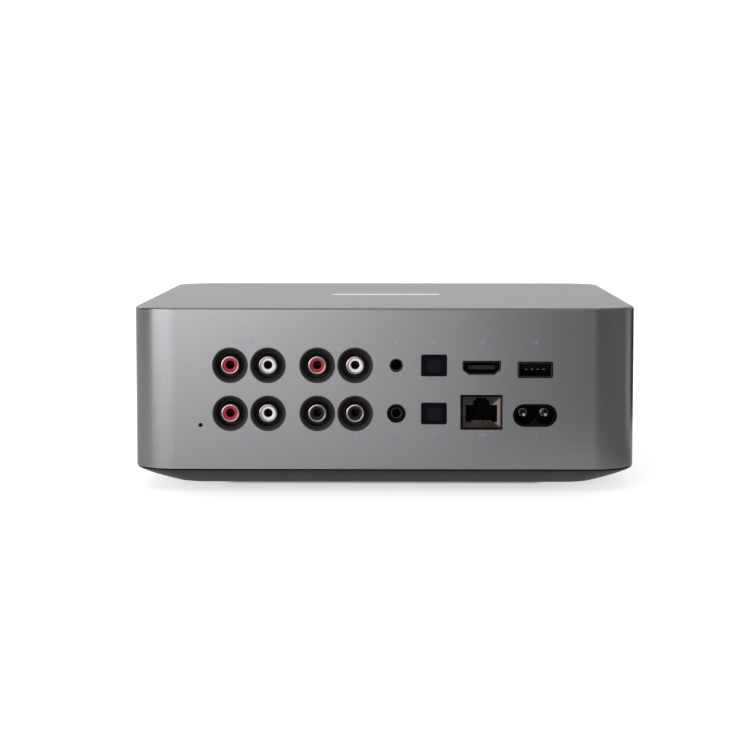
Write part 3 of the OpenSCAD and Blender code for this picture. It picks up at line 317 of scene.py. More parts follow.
PLAIN = {
    # slot: colour, metal, roughness range, grain to the metre, its depth in mm, and for some the
    # drift of the colour and the shine
    "polished_bar": ((0.86, 0.86, 0.87), 1.0, (0.10, 0.16), 5000, 0.0006),
    "base_plastic": ((0.014, 0.014, 0.015), 0.0, (0.42, 0.54), 2600, 0.010, 0.08, 0.09),
    "foot_rubber": ((0.022, 0.022, 0.022), 0.0, (0.70, 0.85), 1800, 0.030),
    "grey_card": ((0.50, 0.50, 0.515), 0.0, (0.80, 0.90), 400, 0.001),
    "dark_card": ((0.05, 0.05, 0.052), 0.0, (0.80, 0.90), 400, 0.001, 0.08, 0.1),
    "dark_screws": ((0.16, 0.16, 0.17), 1.0, (0.35, 0.50), 3000, 0.002),
    "zinc_steel": ((0.62, 0.63, 0.65), 1.0, (0.28, 0.42), 900, 0.004),
    "brass": ((0.72, 0.56, 0.28), 1.0, (0.22, 0.34), 2500, 0.002),
    "socket_black": ((0.027, 0.028, 0.028), 0.0, (0.40, 0.52), 3200, 0.004, 0.08, 0.2),
    "socket_dark": ((0.004, 0.004, 0.005), 0.0, (0.30, 0.42), 3200, 0.003, 0.08, 0.012),
    "flap_black": ((0.007, 0.007, 0.010), 0.0, (0.34, 0.46), 3200, 0.003, 0.08, 0.03),
    "nickel_plate": ((0.36, 0.325, 0.315), 1.0, (0.20, 0.28), 2400, 0.0003),
    "rim_nickel": ((0.24, 0.183, 0.170), 1.0, (0.18, 0.26), 2400, 0.0003),
    "lip_nickel": ((0.026, 0.025, 0.025), 1.0, (0.10, 0.16), 2400, 0.0003),
    # Nickel darkened to near black: painted shade inside the jack bores, and a painted dark
    # reflection on the shells of the video and data sockets.
    "nickel_in_painted_shade": ((0.035, 0.034, 0.034), 1.0, (0.16, 0.26), 2400, 0.0008),
    "red_plastic": ((0.37, 0.013, 0.034), 0.0, (0.30, 0.40), 2600, 0.002, 0.08, 0.15),
    "white_plastic": ((0.70, 0.69, 0.73), 0.0, (0.30, 0.40), 2600, 0.002, 0.04, 0.35),
    "black_plastic": ((0.008, 0.008, 0.010), 0.0, (0.30, 0.40), 2600, 0.002, 0.08, 0.10),
    "contact_gold": ((0.75, 0.56, 0.24), 1.0, (0.18, 0.28), 2600, 0.001),
    # Gold contacts darkened to near black: painted shade deep inside the phono and video sockets.
    "contact_in_painted_shade": ((0.05, 0.04, 0.025), 1.0, (0.35, 0.50), 2600, 0.001),
    "blackened_steel": ((0.020, 0.020, 0.021), 0.6, (0.40, 0.55), 2600, 0.003),
    "light_window": ((0.20, 0.025, 0.035), 0.0, (0.08, 0.14), 2600, 0.0005),
    "display_module": ((0.10, 0.10, 0.11), 0.0, (0.45, 0.60), 1500, 0.004),
    "hub_plastic": ((0.085, 0.085, 0.085), 0.0, (0.42, 0.55), 2200, 0.005),
    "shaft_steel": ((0.60, 0.60, 0.62), 1.0, (0.22, 0.34), 2000, 0.002),
    "coil_and_core": ((0.10, 0.075, 0.045), 0.0, (0.55, 0.70), 700, 0.030),
    "can_sleeve": ((0.045, 0.06, 0.14), 0.0, (0.24, 0.34), 1200, 0.004),
    "black_anodised": ((0.045, 0.045, 0.05), 0.7, (0.42, 0.55), 2400, 0.004),
    "tin_can": ((0.66, 0.66, 0.66), 1.0, (0.26, 0.38), 1000, 0.004),
}
finishes = {slot: finish(slot, *values) for slot, values in PLAIN.items()}
print("plain finishes", len(finishes))

# %% [markdown]
# ## The anodised case
# Bead blasting leaves tiny dimples, and anodising turns them into a fine even satin. The grain is
# about a tenth of a millimetre, too small to see at this distance, so it mostly shows as a soft
# gloss with a faint cloudiness.


# %% Anodised aluminium
CLOUD_SCALE, CLOUD_DETAIL, CLOUD_TONES = 9.0, 0.0, (0.97, 1.03)
BLAST_SCALE, BLAST_DETAIL, BLAST_DEPTH_MM = 6500.0, 2.0, 0.002
GRAZING_TINT = (0.62, 0.62, 0.63, 1)


def anodised(slot, colour, rough):
    """Satin metal: a fine grain for the blasting, in height and roughness, and a slow cloud in the
    colour."""
    material, tree, shader, place = start_material(slot, 1.0)
    cloud = noise(tree, place, CLOUD_SCALE, CLOUD_DETAIL)
    fine = noise(tree, place, BLAST_SCALE, BLAST_DETAIL)
    dark, light = (tuple(c * tone for c in colour) for tone in CLOUD_TONES)
    tone = between(tree, cloud, 0.0, 1.0)
    tree.links.new(blend(tree, tone, dark, light), shader.inputs["Base Color"])
    tree.links.new(between(tree, fine, *rough), shader.inputs["Roughness"])
    shader.inputs["Specular Tint"].default_value = GRAZING_TINT
    tree.links.new(bump(tree, fine, BLAST_DEPTH_MM), shader.inputs["Normal"])
    return material


finishes["anodised_case"] = anodised("anodised_case", (0.165, 0.163, 0.169), (0.27, 0.29))
finishes["knob_aluminium"] = anodised("knob_aluminium", (0.24, 0.238, 0.245), (0.27, 0.30))
print("anodised finishes", finishes["anodised_case"].name, finishes["knob_aluminium"].name)

# %% [markdown]
# ## Shield, board, cable and glass
# Four finishes need a pattern of their own. The network socket's shield is thin stamped sheet that
# is never quite flat, so one strip of it mirrors the light and the others the dark. A circuit board
# shows copper tracks under its green mask, a flat cable its row of conductors, and the display's
# glass is black behind and smooth in front.


# %% Stamped shield
MITRE = 0.12
# The shield's outer edge is painted dark between these shares of the way out, down to this share of
# its colour: painted shade of the gap round it.
SHADE_EDGE_START, SHADE_EDGE_END = 0.89, 0.95
DULL_TONE, EDGE_SHADE_TONE = 0.86, 0.2
SHIELD_CLOUD_SCALE, SHIELD_ROUGH = 160.0, (0.24, 0.30)


def spread(tree, value, low, high, reach):
    """Maps the range from low to high onto minus reach to reach."""
    node = tree.nodes.new("ShaderNodeMapRange")
    node.clamp = False
    node.inputs["From Min"].default_value, node.inputs["From Max"].default_value = low, high
    node.inputs["To Min"].default_value, node.inputs["To Max"].default_value = -reach, reach
    tree.links.new(value, node.inputs["Value"])
    return node.outputs["Result"]


def stamped_shield(colour, dish_mm, lean_mm, turn_mm):
    """Sheet round an opening. The strips beside it are dished: their height is dish_mm times the
    square of the distance from the middle. Those above and below it are turned sideways, by a
    slope of turn_mm from the middle to the side. All lean back, by lean_mm from the middle to the
    top. The strips meet in a mitre. The outer edge is painted dark, a painted shade of the gap
    round the shield."""
    material, tree, shader, place = start_material("sheet_nickel", 1.0)
    low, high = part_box("network_shield")
    axes = tree.nodes.new("ShaderNodeSeparateXYZ")
    tree.links.new(place, axes.inputs[0])
    x, z = axes.outputs["X"], axes.outputs["Z"]
    across = spread(tree, x, low[0], high[0], math.sqrt(dish_mm))
    aside = spread(tree, x, low[0], high[0], turn_mm)
    upward = spread(tree, z, low[2], high[2], lean_mm)
    far_x = reckon(tree, "ABSOLUTE", spread(tree, x, low[0], high[0], 1.0))
    far_z = reckon(tree, "ABSOLUTE", spread(tree, z, low[2], high[2], 1.0))

    square = reckon(tree, "MULTIPLY", across, across)
    dished = bump(tree, reckon(tree, "SUBTRACT", square, upward), 1.0)
    sideways = bump(tree, reckon(tree, "SUBTRACT", aside, upward), 1.0)
    beside = ramp(tree, reckon(tree, "SUBTRACT", far_x, far_z), -MITRE, MITRE)
    tree.links.new(blend(tree, beside, sideways, dished, "VECTOR"), shader.inputs["Normal"])

    cloud = noise(tree, place, SHIELD_CLOUD_SCALE, FINE_DETAIL)
    dull, dark = (tuple(c * tone for c in colour) for tone in (DULL_TONE, EDGE_SHADE_TONE))
    face = blend(tree, between(tree, cloud, 0.0, 1.0), dull, colour)
    # Painted shade: towards the outer edge the colour turns dark, as the gap round the shield would
    # be shaded.
    edge = ramp(tree, reckon(tree, "MAXIMUM", far_x, far_z), SHADE_EDGE_START, SHADE_EDGE_END)
    tree.links.new(blend(tree, edge, face, dark), shader.inputs["Base Color"])
    tree.links.new(between(tree, cloud, *SHIELD_ROUGH), shader.inputs["Roughness"])
    return material


finishes["sheet_nickel"] = stamped_shield(
    colour=(0.068, 0.056, 0.054), dish_mm=0.50, lean_mm=0.5, turn_mm=1.0
)
print("shield", finishes["sheet_nickel"].name)


# %% Board, cable and glass finishes
TRACK_SCALE, TRACK_DEPTH_MM = 260.0, 0.03
CONDUCTOR_PITCH_MM, WAVE_RATE = 2.0, 20
GLASS_CLOUD_SCALE, GLASS_ROUGH, GLASS_SHINE = 40.0, (0.03, 0.06), 0.3


def circuit_board():
    """Green mask over a web of tracks: the edges of large cells are lighter and a little raised."""
    material, tree, shader, place = start_material("circuit_board", 0.0)
    cells = tree.nodes.new("ShaderNodeTexVoronoi")
    cells.feature, cells.distance = "F1", "CHEBYCHEV"
    cells.inputs["Scale"].default_value = TRACK_SCALE
    tree.links.new(place, cells.inputs["Vector"])
    track = between(tree, cells.outputs["Distance"], 0.0, 1.0)
    tone = blend(tree, track, (0.012, 0.085, 0.04), (0.03, 0.17, 0.08))
    tree.links.new(tone, shader.inputs["Base Color"])
    shader.inputs["Roughness"].default_value = 0.32
    tree.links.new(bump(tree, track, TRACK_DEPTH_MM), shader.inputs["Normal"])
    return material


def flat_cable():
    """Amber film with even conductors across it, along X. A wave texture turns by its scale times
    WAVE_RATE radians to the metre."""
    material, tree, shader, place = start_material("flat_cable", 0.0)
    stripes = tree.nodes.new("ShaderNodeTexWave")
    stripes.wave_type, stripes.bands_direction = "BANDS", "X"
    stripes.inputs["Scale"].default_value = 2 * math.pi / (WAVE_RATE * CONDUCTOR_PITCH_MM * MM)
    tree.links.new(place, stripes.inputs["Vector"])
    tone = blend(tree, stripes.outputs["Fac"], (0.42, 0.17, 0.04), (0.58, 0.30, 0.10))
    tree.links.new(tone, shader.inputs["Base Color"])
    shader.inputs["Roughness"].default_value = 0.3
    return material


def display_glass():
    """Glass printed black behind: near black, smooth, with a faint cloud in its roughness."""
    material, tree, shader, place = start_material("display_glass", 0.0)
    cloud = noise(tree, place, GLASS_CLOUD_SCALE, FINE_DETAIL)
    drift = between(tree, cloud, 0.0, 1.0)
    tone = blend(tree, drift, (0.006, 0.006, 0.008), (0.010, 0.010, 0.012))
    tree.links.new(tone, shader.inputs["Base Color"])
    tree.links.new(between(tree, cloud, *GLASS_ROUGH), shader.inputs["Roughness"])
    shader.inputs["Specular IOR Level"].default_value = GLASS_SHINE
    return material


finishes["circuit_board"] = circuit_board()
finishes["flat_cable"] = flat_cable()
finishes["display_glass"] = display_glass()
print("finishes in all", len(finishes))

# %% [markdown]
# ## Dressing the CAD nodes
# A node whose shape is right stays as it is, with its own exact normals, and only gets its finish.
# The table says which nodes share a slot, as the record of the part does, and a second one names
# those that look different from the rest of their slot.

# %% Finish of each node
NODES_OF = {
    "anodised_case": ["case_shell"],
    "polished_bar": ["top_inlay"],
    "base_plastic": ["base_cover"],
    "foot_rubber": ["foot_pad"],
    "dark_screws": ["base_screws"],
    "zinc_steel": ["chassis_plate", "chassis_screws", "board_screws", "front_screws"],
    "brass": ["board_spacers"],
    "circuit_board": ["main_board", "power_board", "upper_board", "front_board"],
    "socket_black": [
        "link_header", "line_socket_block", "preout_socket_block", "trigger_jack",
        "headphone_jack", "optical_in_housing", "optical_out_housing", "video_tongue",
        "data_tongue", "network_insert", "inlet_housing", "reset_switch",
    ],
    "flap_black": ["optical_in_door", "optical_out_door"],
    "nickel_plate": [
        "phono_barrels", "trigger_sleeve", "headphone_sleeve", "video_shell", "data_shell",
        "network_shield", "inlet_pins",
    ],
    "red_plastic": ["red_inserts"],
    "white_plastic": ["white_inserts"],
    "black_plastic": ["black_inserts", "reset_plunger"],
    "contact_gold": ["phono_contacts", "data_contacts", "network_contacts"],
    "blackened_steel": ["ground_terminal"],
    "light_window": ["optical_in_lens", "optical_out_lens"],
    "display_glass": ["display_glass"],
    "display_module": ["display_panel", "display_frame"],
    "flat_cable": ["display_ribbon", "front_ribbon"],
    "knob_aluminium": ["knob_cap"],
    "hub_plastic": ["knob_hub", "push_plunger", "encoder_body"],
    "shaft_steel": ["encoder_shaft"],
    "coil_and_core": ["transformer"],
    "can_sleeve": ["bulk_capacitor", "audio_capacitors"],
    "black_anodised": ["heat_sink"],
    "tin_can": ["wireless_module"],
}
slot_of = {node: slot for slot, names in NODES_OF.items() for node in names}
OTHER_LOOK = {
    "socket_dark": [
        "trigger_jack", "headphone_jack", "optical_in_housing", "optical_out_housing",
        "data_tongue", "network_insert", "inlet_housing",
    ],
    "sheet_nickel": ["network_shield"],
    # Sleeves and shells take nickel darkened to near black: painted shade in the bores, and a
    # painted dark reflection on the shells.
    "nickel_in_painted_shade": ["video_shell", "data_shell", "trigger_sleeve", "headphone_sleeve"],
    "base_plastic": ["video_tongue"],
    # The phono contacts take the gold darkened to near black, as painted shade inside their holes.
    "contact_in_painted_shade": ["phono_contacts"],
    "nickel_plate": ["data_contacts"],
}
look_of = slot_of | {node: look for look, names in OTHER_LOOK.items() for node in names}
for node, part in nodes.items():
    part.data.materials.clear()
    part.data.materials.append(finishes[look_of[node]])
print("dressed", len(slot_of), "nodes; without a finish:", sorted(set(nodes) - set(slot_of)))

# %% [markdown]
# ## Rounded edges and even shading
# A solid model's edges are perfectly sharp, but moulded plastic and bent sheet always have a small
# round that catches the light. Each of these pieces is a copy of its node: the loose triangles are
# joined, flat triangles become whole faces again, and a Bevel modifier rounds the edges that turn
# by more than a given angle. Case and base have their rounds already and keep their shape. They
# only get even shading, so that no line shows where a flat wall meets a round corner.


# %% Copies with rounded edges
CAD_SAME_POINT = 2e-6
FLAT_TURN = math.radians(0.3)
LARGEST_FACE_RULES = 100


def eased_copy(node, width_mm, turn=40, segments=2):
    """Copy of a node with joined triangles and rounded edges. It stands for the node and rides on
    its body. Edges that turn by more than turn degrees are rounded, or stay sharp at no width."""
    source = nodes[node].data
    points = np.empty(len(source.vertices) * 3)
    source.vertices.foreach_get("co", points)
    corners = np.empty(len(source.loops), np.int32)
    source.loops.foreach_get("vertex_index", corners)
    mesh = bpy.data.meshes.new(node + "_eased")
    mesh.from_pydata(points.reshape(-1, 3).tolist(), [], corners.reshape(-1, 3).tolist())
    form = bmesh.new()
    form.from_mesh(mesh)
    bmesh.ops.remove_doubles(form, verts=form.verts, dist=CAD_SAME_POINT)
    bmesh.ops.dissolve_limit(form, angle_limit=FLAT_TURN, verts=form.verts, edges=form.edges)
    form.to_mesh(mesh)
    form.free()
    mesh.shade_smooth()
    mesh.set_sharp_from_angle(angle=math.radians(turn))
    piece = bpy.data.objects.new(node + "_eased", mesh)
    scene.collection.objects.link(piece)
    mesh.materials.append(finishes[look_of[node]])
    if width_mm:
        bevel = piece.modifiers.new("round", "BEVEL")
        bevel.width, bevel.segments = width_mm * MM, segments
        bevel.limit_method, bevel.angle_limit = "ANGLE", math.radians(turn)
        bevel.use_clamp_overlap = True
    shade = piece.modifiers.new("even_shading", "WEIGHTED_NORMAL")
    shade.keep_sharp = not width_mm
    shade.weight = LARGEST_FACE_RULES
    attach(piece, nodes[node]["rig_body"])
    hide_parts(node)
    return piece


EASED = {
    "optical_in_housing": 0.12, "optical_out_housing": 0.12,
    "optical_in_door": 0.10, "optical_out_door": 0.10,
    "video_shell": 0.20, "data_shell": 0.20, "network_shield": 0.08, "inlet_housing": 0.15,
    "base_cover": 0, "case_shell": 0,
}
for node, width in EASED.items():
    print("eased", eased_copy(node, width).name, "by", width, "mm")

# %% [markdown]
# ## Phono sockets
# A phono barrel is drawn from sheet. It tapers towards its tip, which is rolled in over the
# coloured ring, and the ring has a soft lip round the hole for the pin. Both are profiles of radius
# and depth, turned about the axis.

# %% Barrels and coloured rings
REAR = cad_high.y / MM
ROWS_Z = {"lower": 31.2, "upper": 50.3}
COLUMNS_X = (61.0, 46.0, 26.5, 11.5)
BARREL_R, TIP_R, BORE_R, LIP_R = 4.15, 3.60, 3.05, 2.80
RING_R, RING_BORE_R, PIN_HOLE_R = 3.0, 1.9, 1.75
BARREL_BACK, TAPER_BACK, BARREL_FRONT = REAR - 9.4, REAR - 2.4, REAR - 0.4
RING_FRONT = REAR - 0.95
RING_LIP_BACK, BARREL_LIP_BACK = RING_FRONT - 1.8, RING_FRONT + 0.02
TURN_STEPS = 72


def turned_at(profile, spots):
    """The same turned profile at several places of X and Z."""
    points = turned(profile, (0.0, 0.0), TURN_STEPS)
    faces = grid_faces(len(profile), TURN_STEPS, True, True)
    return many(points, faces, [(x, 0.0, z) for x, z in spots])


# Each corner of a profile is its radius, its Y and how far its round reaches.
BARREL = np.array([
    (BORE_R, BARREL_BACK, 0.05), (BARREL_R, BARREL_BACK, 0.05), (BARREL_R, TAPER_BACK, 0.30),
    (TIP_R, BARREL_FRONT, 0.45), (LIP_R, BARREL_FRONT, 0.30), (LIP_R, BARREL_LIP_BACK, 0.05),
    (BORE_R, BARREL_LIP_BACK, 0.05),
])
RING = np.array([
    (RING_BORE_R, BARREL_BACK, 0.05), (RING_R, BARREL_BACK, 0.05), (RING_R, RING_FRONT, 0.2),
    (PIN_HOLE_R, RING_FRONT, 0.3), (PIN_HOLE_R, RING_LIP_BACK, 0.05),
    (RING_BORE_R, RING_LIP_BACK, 0.05),
])
barrel, ring = (rounded(corners[:, :2], corners[:, 2]) for corners in (BARREL, RING))
spots = {(c, r): (COLUMNS_X[c], ROWS_Z[r]) for c in range(len(COLUMNS_X)) for r in ROWS_Z}
SPOTS_OF = {
    "red": [(0, "upper"), (0, "lower"), (2, "upper")],
    "white": [(1, "upper"), (1, "lower"), (3, "upper")],
    "black": [(2, "lower"), (3, "lower")],
}
make_piece("phono_barrels_turned", *turned_at(barrel, spots.values()), finishes["rim_nickel"],
           "case", "nickel_plate", ["phono_barrels"])
for colour, keys in SPOTS_OF.items():
    slot = colour + "_plastic"
    make_piece(colour + "_rings_turned", *turned_at(ring, [spots[k] for k in keys]),
               finishes[slot], "case", slot, [colour + "_inserts"])

# %% [markdown]
# ## The volume knob
# The knob is turned from bar and its side is knurled, so that fingers grip it. Its radius is a
# plain profile from the middle of the face over the rim to the back, and on the side a cosine of
# the angle cuts the fine teeth. The face is spun slightly hollow.

# %% Knurled knob
knob_low, knob_high = (Vector(v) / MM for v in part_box("knob_cap"))
KNOB_R = (knob_high.x - knob_low.x) / 2
KNOB_X, KNOB_Z = (knob_high.x + knob_low.x) / 2, (knob_high.z + knob_low.z) / 2
TEETH, TOOTH_STEPS, TOOTH_DEPTH = 110, 8, 0.22
FADE_START, FADE_RISE = 0.1, 3
FACE_HOLLOW, FACE_THICK, KNOB_WALL, KNOB_ROUND = 0.35, 2.0, 2.5, 0.7
FACE_STEPS, ROUND_STEPS, SIDE_STEPS = 24, 7, 12


def knob_points():
    """Radius and depth run from the middle of the face to the back. The face sinks with the square
    of the distance from its rim, the rim is a quarter round, and the side is cut by TEETH cosine
    teeth that fade out towards both of its edges."""
    face_end, back = KNOB_R - KNOB_ROUND, knob_low.y + FACE_THICK
    face_r = np.linspace(0, face_end, FACE_STEPS)
    face_y = knob_low.y + FACE_HOLLOW * (1 - (face_r / face_end) ** 2)
    turn = np.linspace(0, np.pi / 2, ROUND_STEPS)[1:]
    rim_r = face_end + KNOB_ROUND * np.sin(turn)
    rim_y = knob_low.y + KNOB_ROUND - KNOB_ROUND * np.cos(turn)
    side_y = np.linspace(knob_low.y + KNOB_ROUND, knob_high.y, SIDE_STEPS)[1:]
    side_r = np.full(len(side_y), KNOB_R)
    inner_r = KNOB_R - KNOB_WALL
    radius = np.concatenate([face_r, rim_r, side_r, [inner_r, inner_r, 0]])
    depth = np.concatenate([face_y, rim_y, side_y, [knob_high.y, back, back]])
    first = len(face_r) + len(rim_r)
    along_side = np.linspace(FADE_START, np.pi - FADE_START, len(side_y))
    fade = np.zeros(len(radius))
    fade[first:first + len(side_y)] = np.clip(FADE_RISE * np.sin(along_side), 0, 1)
    angle = np.linspace(0, 2 * np.pi, TEETH * TOOTH_STEPS, endpoint=False)
    r = radius[:, None] - fade[:, None] * TOOTH_DEPTH * (0.5 - 0.5 * np.cos(TEETH * angle))
    x, z = KNOB_X + r * np.cos(angle), KNOB_Z + r * np.sin(angle)
    points = np.stack([x, np.broadcast_to(depth[:, None], x.shape), z], -1)
    return points.reshape(-1, 3), len(radius)


knob, knob_rows = knob_points()
knob_faces = grid_faces(knob_rows, TEETH * TOOTH_STEPS, ring_columns=True)
make_piece("knob_knurled", knob, knob_faces, finishes["knob_aluminium"], "volume_knob",
           "knob_aluminium", ["knob_cap"])

# %% [markdown]
# ## Inside the mains inlet and the video socket
# Deep in the inlet each pin stands in a metal collar, which shows as a bright arc. The video
# socket's tongue has a row of flat contacts on either side. A collar is a turned profile. A contact
# is a rounded cross section carried straight along Y, and the row is one contact copied at an even
# pitch.

# %% Pin collars and video contacts
INLET_X, INLET_Z, PIN_PITCH = -59.7, 30.5, 8.6
COLLAR_BACK, COLLAR_FRONT = REAR - 12.45, REAR - 11.9
COLLAR_BORE_R, COLLAR_R, COLLAR_ROUND = 1.40, 1.75, 0.15
collar = rounded(
    [(COLLAR_BORE_R, COLLAR_BACK), (COLLAR_R, COLLAR_BACK),
     (COLLAR_R, COLLAR_FRONT), (COLLAR_BORE_R, COLLAR_FRONT)],
    COLLAR_ROUND,
)
pins = [(INLET_X + s * PIN_PITCH / 2, INLET_Z) for s in (-1, 1)]
make_piece("inlet_collars", *turned_at(collar, pins), finishes["nickel_plate"], "case",
           "nickel_plate")


def strip_along_y(outline, front, back):
    """Closed outline in X and Z carried from back to front along Y. Its ends close onto the middle
    line."""
    outline = np.asarray(outline, float)
    centre = outline.mean(0)
    y = np.array([back, back, front, front])
    share = np.array([0.0, 1.0, 1.0, 0.0])[:, None, None]
    xz = centre + share * (outline - centre)
    along = np.broadcast_to(y[:, None], xz.shape[:2])
    return np.stack([xz[..., 0], along, xz[..., 1]], -1).reshape(-1, 3)


VIDEO_X, VIDEO_Z, TONGUE_HALF = -38.5, 49.4, 0.65
CONTACT_HALF, CONTACT_THICK, CONTACT_ROUND, CONTACT_PITCH = 0.22, 0.12, 0.05, 1.0
CONTACT_FRONT, CONTACT_BACK = REAR - 2.6, REAR - 12.0
UPPER_CONTACTS, LOWER_CONTACTS = 10, 9
contact_outline = rounded(
    [(-CONTACT_HALF, 0.0), (CONTACT_HALF, 0.0),
     (CONTACT_HALF, CONTACT_THICK), (-CONTACT_HALF, CONTACT_THICK)],
    CONTACT_ROUND, steps=3,
)
strip = strip_along_y(contact_outline, CONTACT_FRONT, CONTACT_BACK)
strip_faces = grid_faces(len(strip) // len(contact_outline), len(contact_outline),
                         ring_columns=True)
rows = (
    (UPPER_CONTACTS, VIDEO_Z + TONGUE_HALF),
    (LOWER_CONTACTS, VIDEO_Z - TONGUE_HALF - CONTACT_THICK),
)
contact_spots = [((i - (count - 1) / 2) * CONTACT_PITCH + VIDEO_X, 0.0, z)
                 for count, z in rows for i in range(count)]
# The contacts are gold darkened to near black, as painted shade inside the socket.
make_piece("video_contacts", *many(strip, strip_faces, contact_spots), finishes["contact_in_painted_shade"],
           "case", "contact_gold")

# %% [markdown]
# ## Rolled lips
# The sheet shells of the video and data sockets are rolled over at the front, and the round lip is
# what glints. A lip is a small rounded section carried round the outline of its socket, offset
# inwards along the normal.


# %% Lips of the video and data sockets
LIP_OUT, LIP_SET_BACK, LIP_ROUND = 0.02, 0.04, 0.45


def rolled_lip(outline, wall, depth):
    """Section of a given wall and depth with a round front, carried round a closed outline of X and
    Z that runs anticlockwise. The way inwards is the difference of the two neighbours of a point,
    turned to its left."""
    along = np.roll(outline, -1, 0) - np.roll(outline, 1, 0)
    inward = np.column_stack([-along[:, 1], along[:, 0]]) / np.linalg.norm(along, axis=1)[:, None]
    front, back = REAR - LIP_SET_BACK, REAR - LIP_SET_BACK - depth
    section = rounded(
        [(-LIP_OUT, back), (-LIP_OUT, front), (wall, front), (wall, back)],
        (LIP_OUT, LIP_ROUND * wall, LIP_ROUND * wall, LIP_OUT),
    )
    xz = outline[None] + section[:, :1, None] * inward[None]
    y = np.broadcast_to(section[:, 1:], xz.shape[:2])
    points = np.stack([xz[..., 0], y, xz[..., 1]], -1).reshape(-1, 3)
    return points, grid_faces(len(section), len(outline), True, True)


VIDEO_ROUND, DATA_ROUND = 0.6, 0.7
VIDEO_EDGE = [(7.4, 2.6), (-7.4, 2.6), (-7.4, -0.8), (-5.05, -2.6), (5.05, -2.6), (7.4, -0.8)]
video_outline = rounded(VIDEO_EDGE, VIDEO_ROUND) + (VIDEO_X, VIDEO_Z)
make_piece("video_lip", *rolled_lip(video_outline, wall=0.44, depth=1.5), finishes["lip_nickel"],
           "case", "nickel_plate")
DATA_X, DATA_Z = -59.7, 48.6
DATA_EDGE = [(6.85, 3.1), (-6.85, 3.1), (-6.85, -3.1), (6.85, -3.1)]
data_outline = rounded(DATA_EDGE, DATA_ROUND) + (DATA_X, DATA_Z)
make_piece("data_lip", *rolled_lip(data_outline, wall=0.69, depth=0.6), finishes["lip_nickel"],
           "case", "nickel_plate")

# %% [markdown]
# ## Printed marks
# The real unit has small printed words beside its sockets. They are left off, and plain numbers
# stand in their places. Each number is text turned into a flat mesh that lies just off the panel.

# %% Numbers on the rear panel
INK_OFF_MM = 0.015
INK_SCALE, FADED_TONE = 3000.0, 0.86


def ink(name, colour):
    """Matt printing ink, a little uneven where it takes on the grain below."""
    material, tree, shader, place = start_material(name, 0.0)
    patch = between(tree, noise(tree, place, INK_SCALE, FINE_DETAIL), 0.0, 1.0)
    faded = tuple(c * FADED_TONE for c in colour)
    tree.links.new(blend(tree, patch, faded, colour), shader.inputs["Base Color"])
    shader.inputs["Roughness"].default_value = 0.6
    return material


def printed(name, text, x, z, height, material):
    """Text made a mesh, then set on the rear panel: its width runs along minus X and its height
    along Z."""
    curve = bpy.data.curves.new(name, "FONT")
    curve.body, curve.size = text, height
    curve.align_x, curve.align_y = "CENTER", "CENTER"
    maker = bpy.data.objects.new(name + "_text", curve)
    scene.collection.objects.link(maker)
    ready = maker.evaluated_get(bpy.context.evaluated_depsgraph_get())
    mesh = bpy.data.meshes.new_from_object(ready)
    bpy.data.objects.remove(maker)
    flat = np.empty(len(mesh.vertices) * 3)
    mesh.vertices.foreach_get("co", flat)
    flat = flat.reshape(-1, 3)
    y = np.full(len(flat), REAR + INK_OFF_MM)
    placed = np.stack([x - flat[:, 0], y, z + flat[:, 1]], -1) * MM
    mesh.vertices.foreach_set("co", placed.ravel())
    mesh.materials.clear()
    mesh.materials.append(material)
    mesh.update()
    mark = bpy.data.objects.new(name, mesh)
    scene.collection.objects.link(mark)
    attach(mark, "case")
    return mark


pale_ink, gold_ink = ink("pale_ink", (0.25, 0.24, 0.33)), ink("gold_ink", (0.22, 0.16, 0.05))
UPPER_MARK_Z, LOWER_MARK_Z, MARK_HEIGHT = 59.5, 22.7, 2.4
POWER_HEIGHT = MARK_HEIGHT * 1.2
LINE_X, PREOUT_X, JACK_X, OPTICAL_X, POWER_X = 53.5, 19.0, -4.8, -19.7, -59.7
UPPER_MARKS = [("1 2", LINE_X), ("5 6", PREOUT_X), ("9", JACK_X), ("11", OPTICAL_X),
               ("13", VIDEO_X), ("15", POWER_X)]
LOWER_MARKS = [("3 4", LINE_X), ("7", COLUMNS_X[2]), ("8", COLUMNS_X[3]), ("10", JACK_X),
               ("12", OPTICAL_X), ("14", VIDEO_X)]
marks = [(*mark, UPPER_MARK_Z) for mark in UPPER_MARKS]
marks += [(*mark, LOWER_MARK_Z) for mark in LOWER_MARKS]
for count, (text, x, z) in enumerate(marks):
    printed("mark_%02d" % (count + 1), text, x, z, MARK_HEIGHT, pale_ink)
printed("mark_13", "16", POWER_X, LOWER_MARK_Z, POWER_HEIGHT, gold_ink)
print("printed marks", len(marks) + 1)

# %% [markdown]
# ## Floor and backdrop
# The photograph has a pure white ground on which only a faint shadow shows. A sheet sweeps back
# along the floor, turns up through a quarter circle and goes on up as the backdrop. It is a floor
# that takes light and shadow, and it also shines to the camera and in reflections, without lighting
# anything. That glow is white far from the unit and fades towards its base, as a painted shadow.


# %% Sweep of floor and backdrop
FLOOR_DROP, BEND_STEPS = 0.00005, 16
FLOOR_GREY = (0.36, 0.36, 0.36, 1)
FOOT_HALF, GLOW_REACH, GLOW_SQUEEZE = 0.06, 0.25, 2.4
# Distance in metres and strength of the glow there. Close to the base the glow falls almost to
# nothing, as a painted shadow.
GLOW_AND_PAINTED_SHADOW = [
    (0.010, 0.05), (0.0145, 0.38), (0.018, 0.60), (0.030, 0.645), (0.060, 0.71), (0.120, 0.82),
    (0.250, 0.90),
]


def sweep_points(half_width, front, back, bend, height):
    """Profile of Y and Z from the front edge of the floor, round the bend and up the backdrop, at
    both sides. The floor lies FLOOR_DROP below the foot."""
    turn = np.linspace(0, np.pi / 2, BEND_STEPS)
    y = np.concatenate([[front], back + bend - bend * np.sin(turn), [back]])
    z = np.concatenate([[0], bend - bend * np.cos(turn), [height]]) - FLOOR_DROP
    x = np.array([-half_width, half_width])
    grid = np.stack(np.broadcast_arrays(x[None, :], y[:, None], z[:, None]), -1)
    return grid.reshape(-1, 3), len(y)


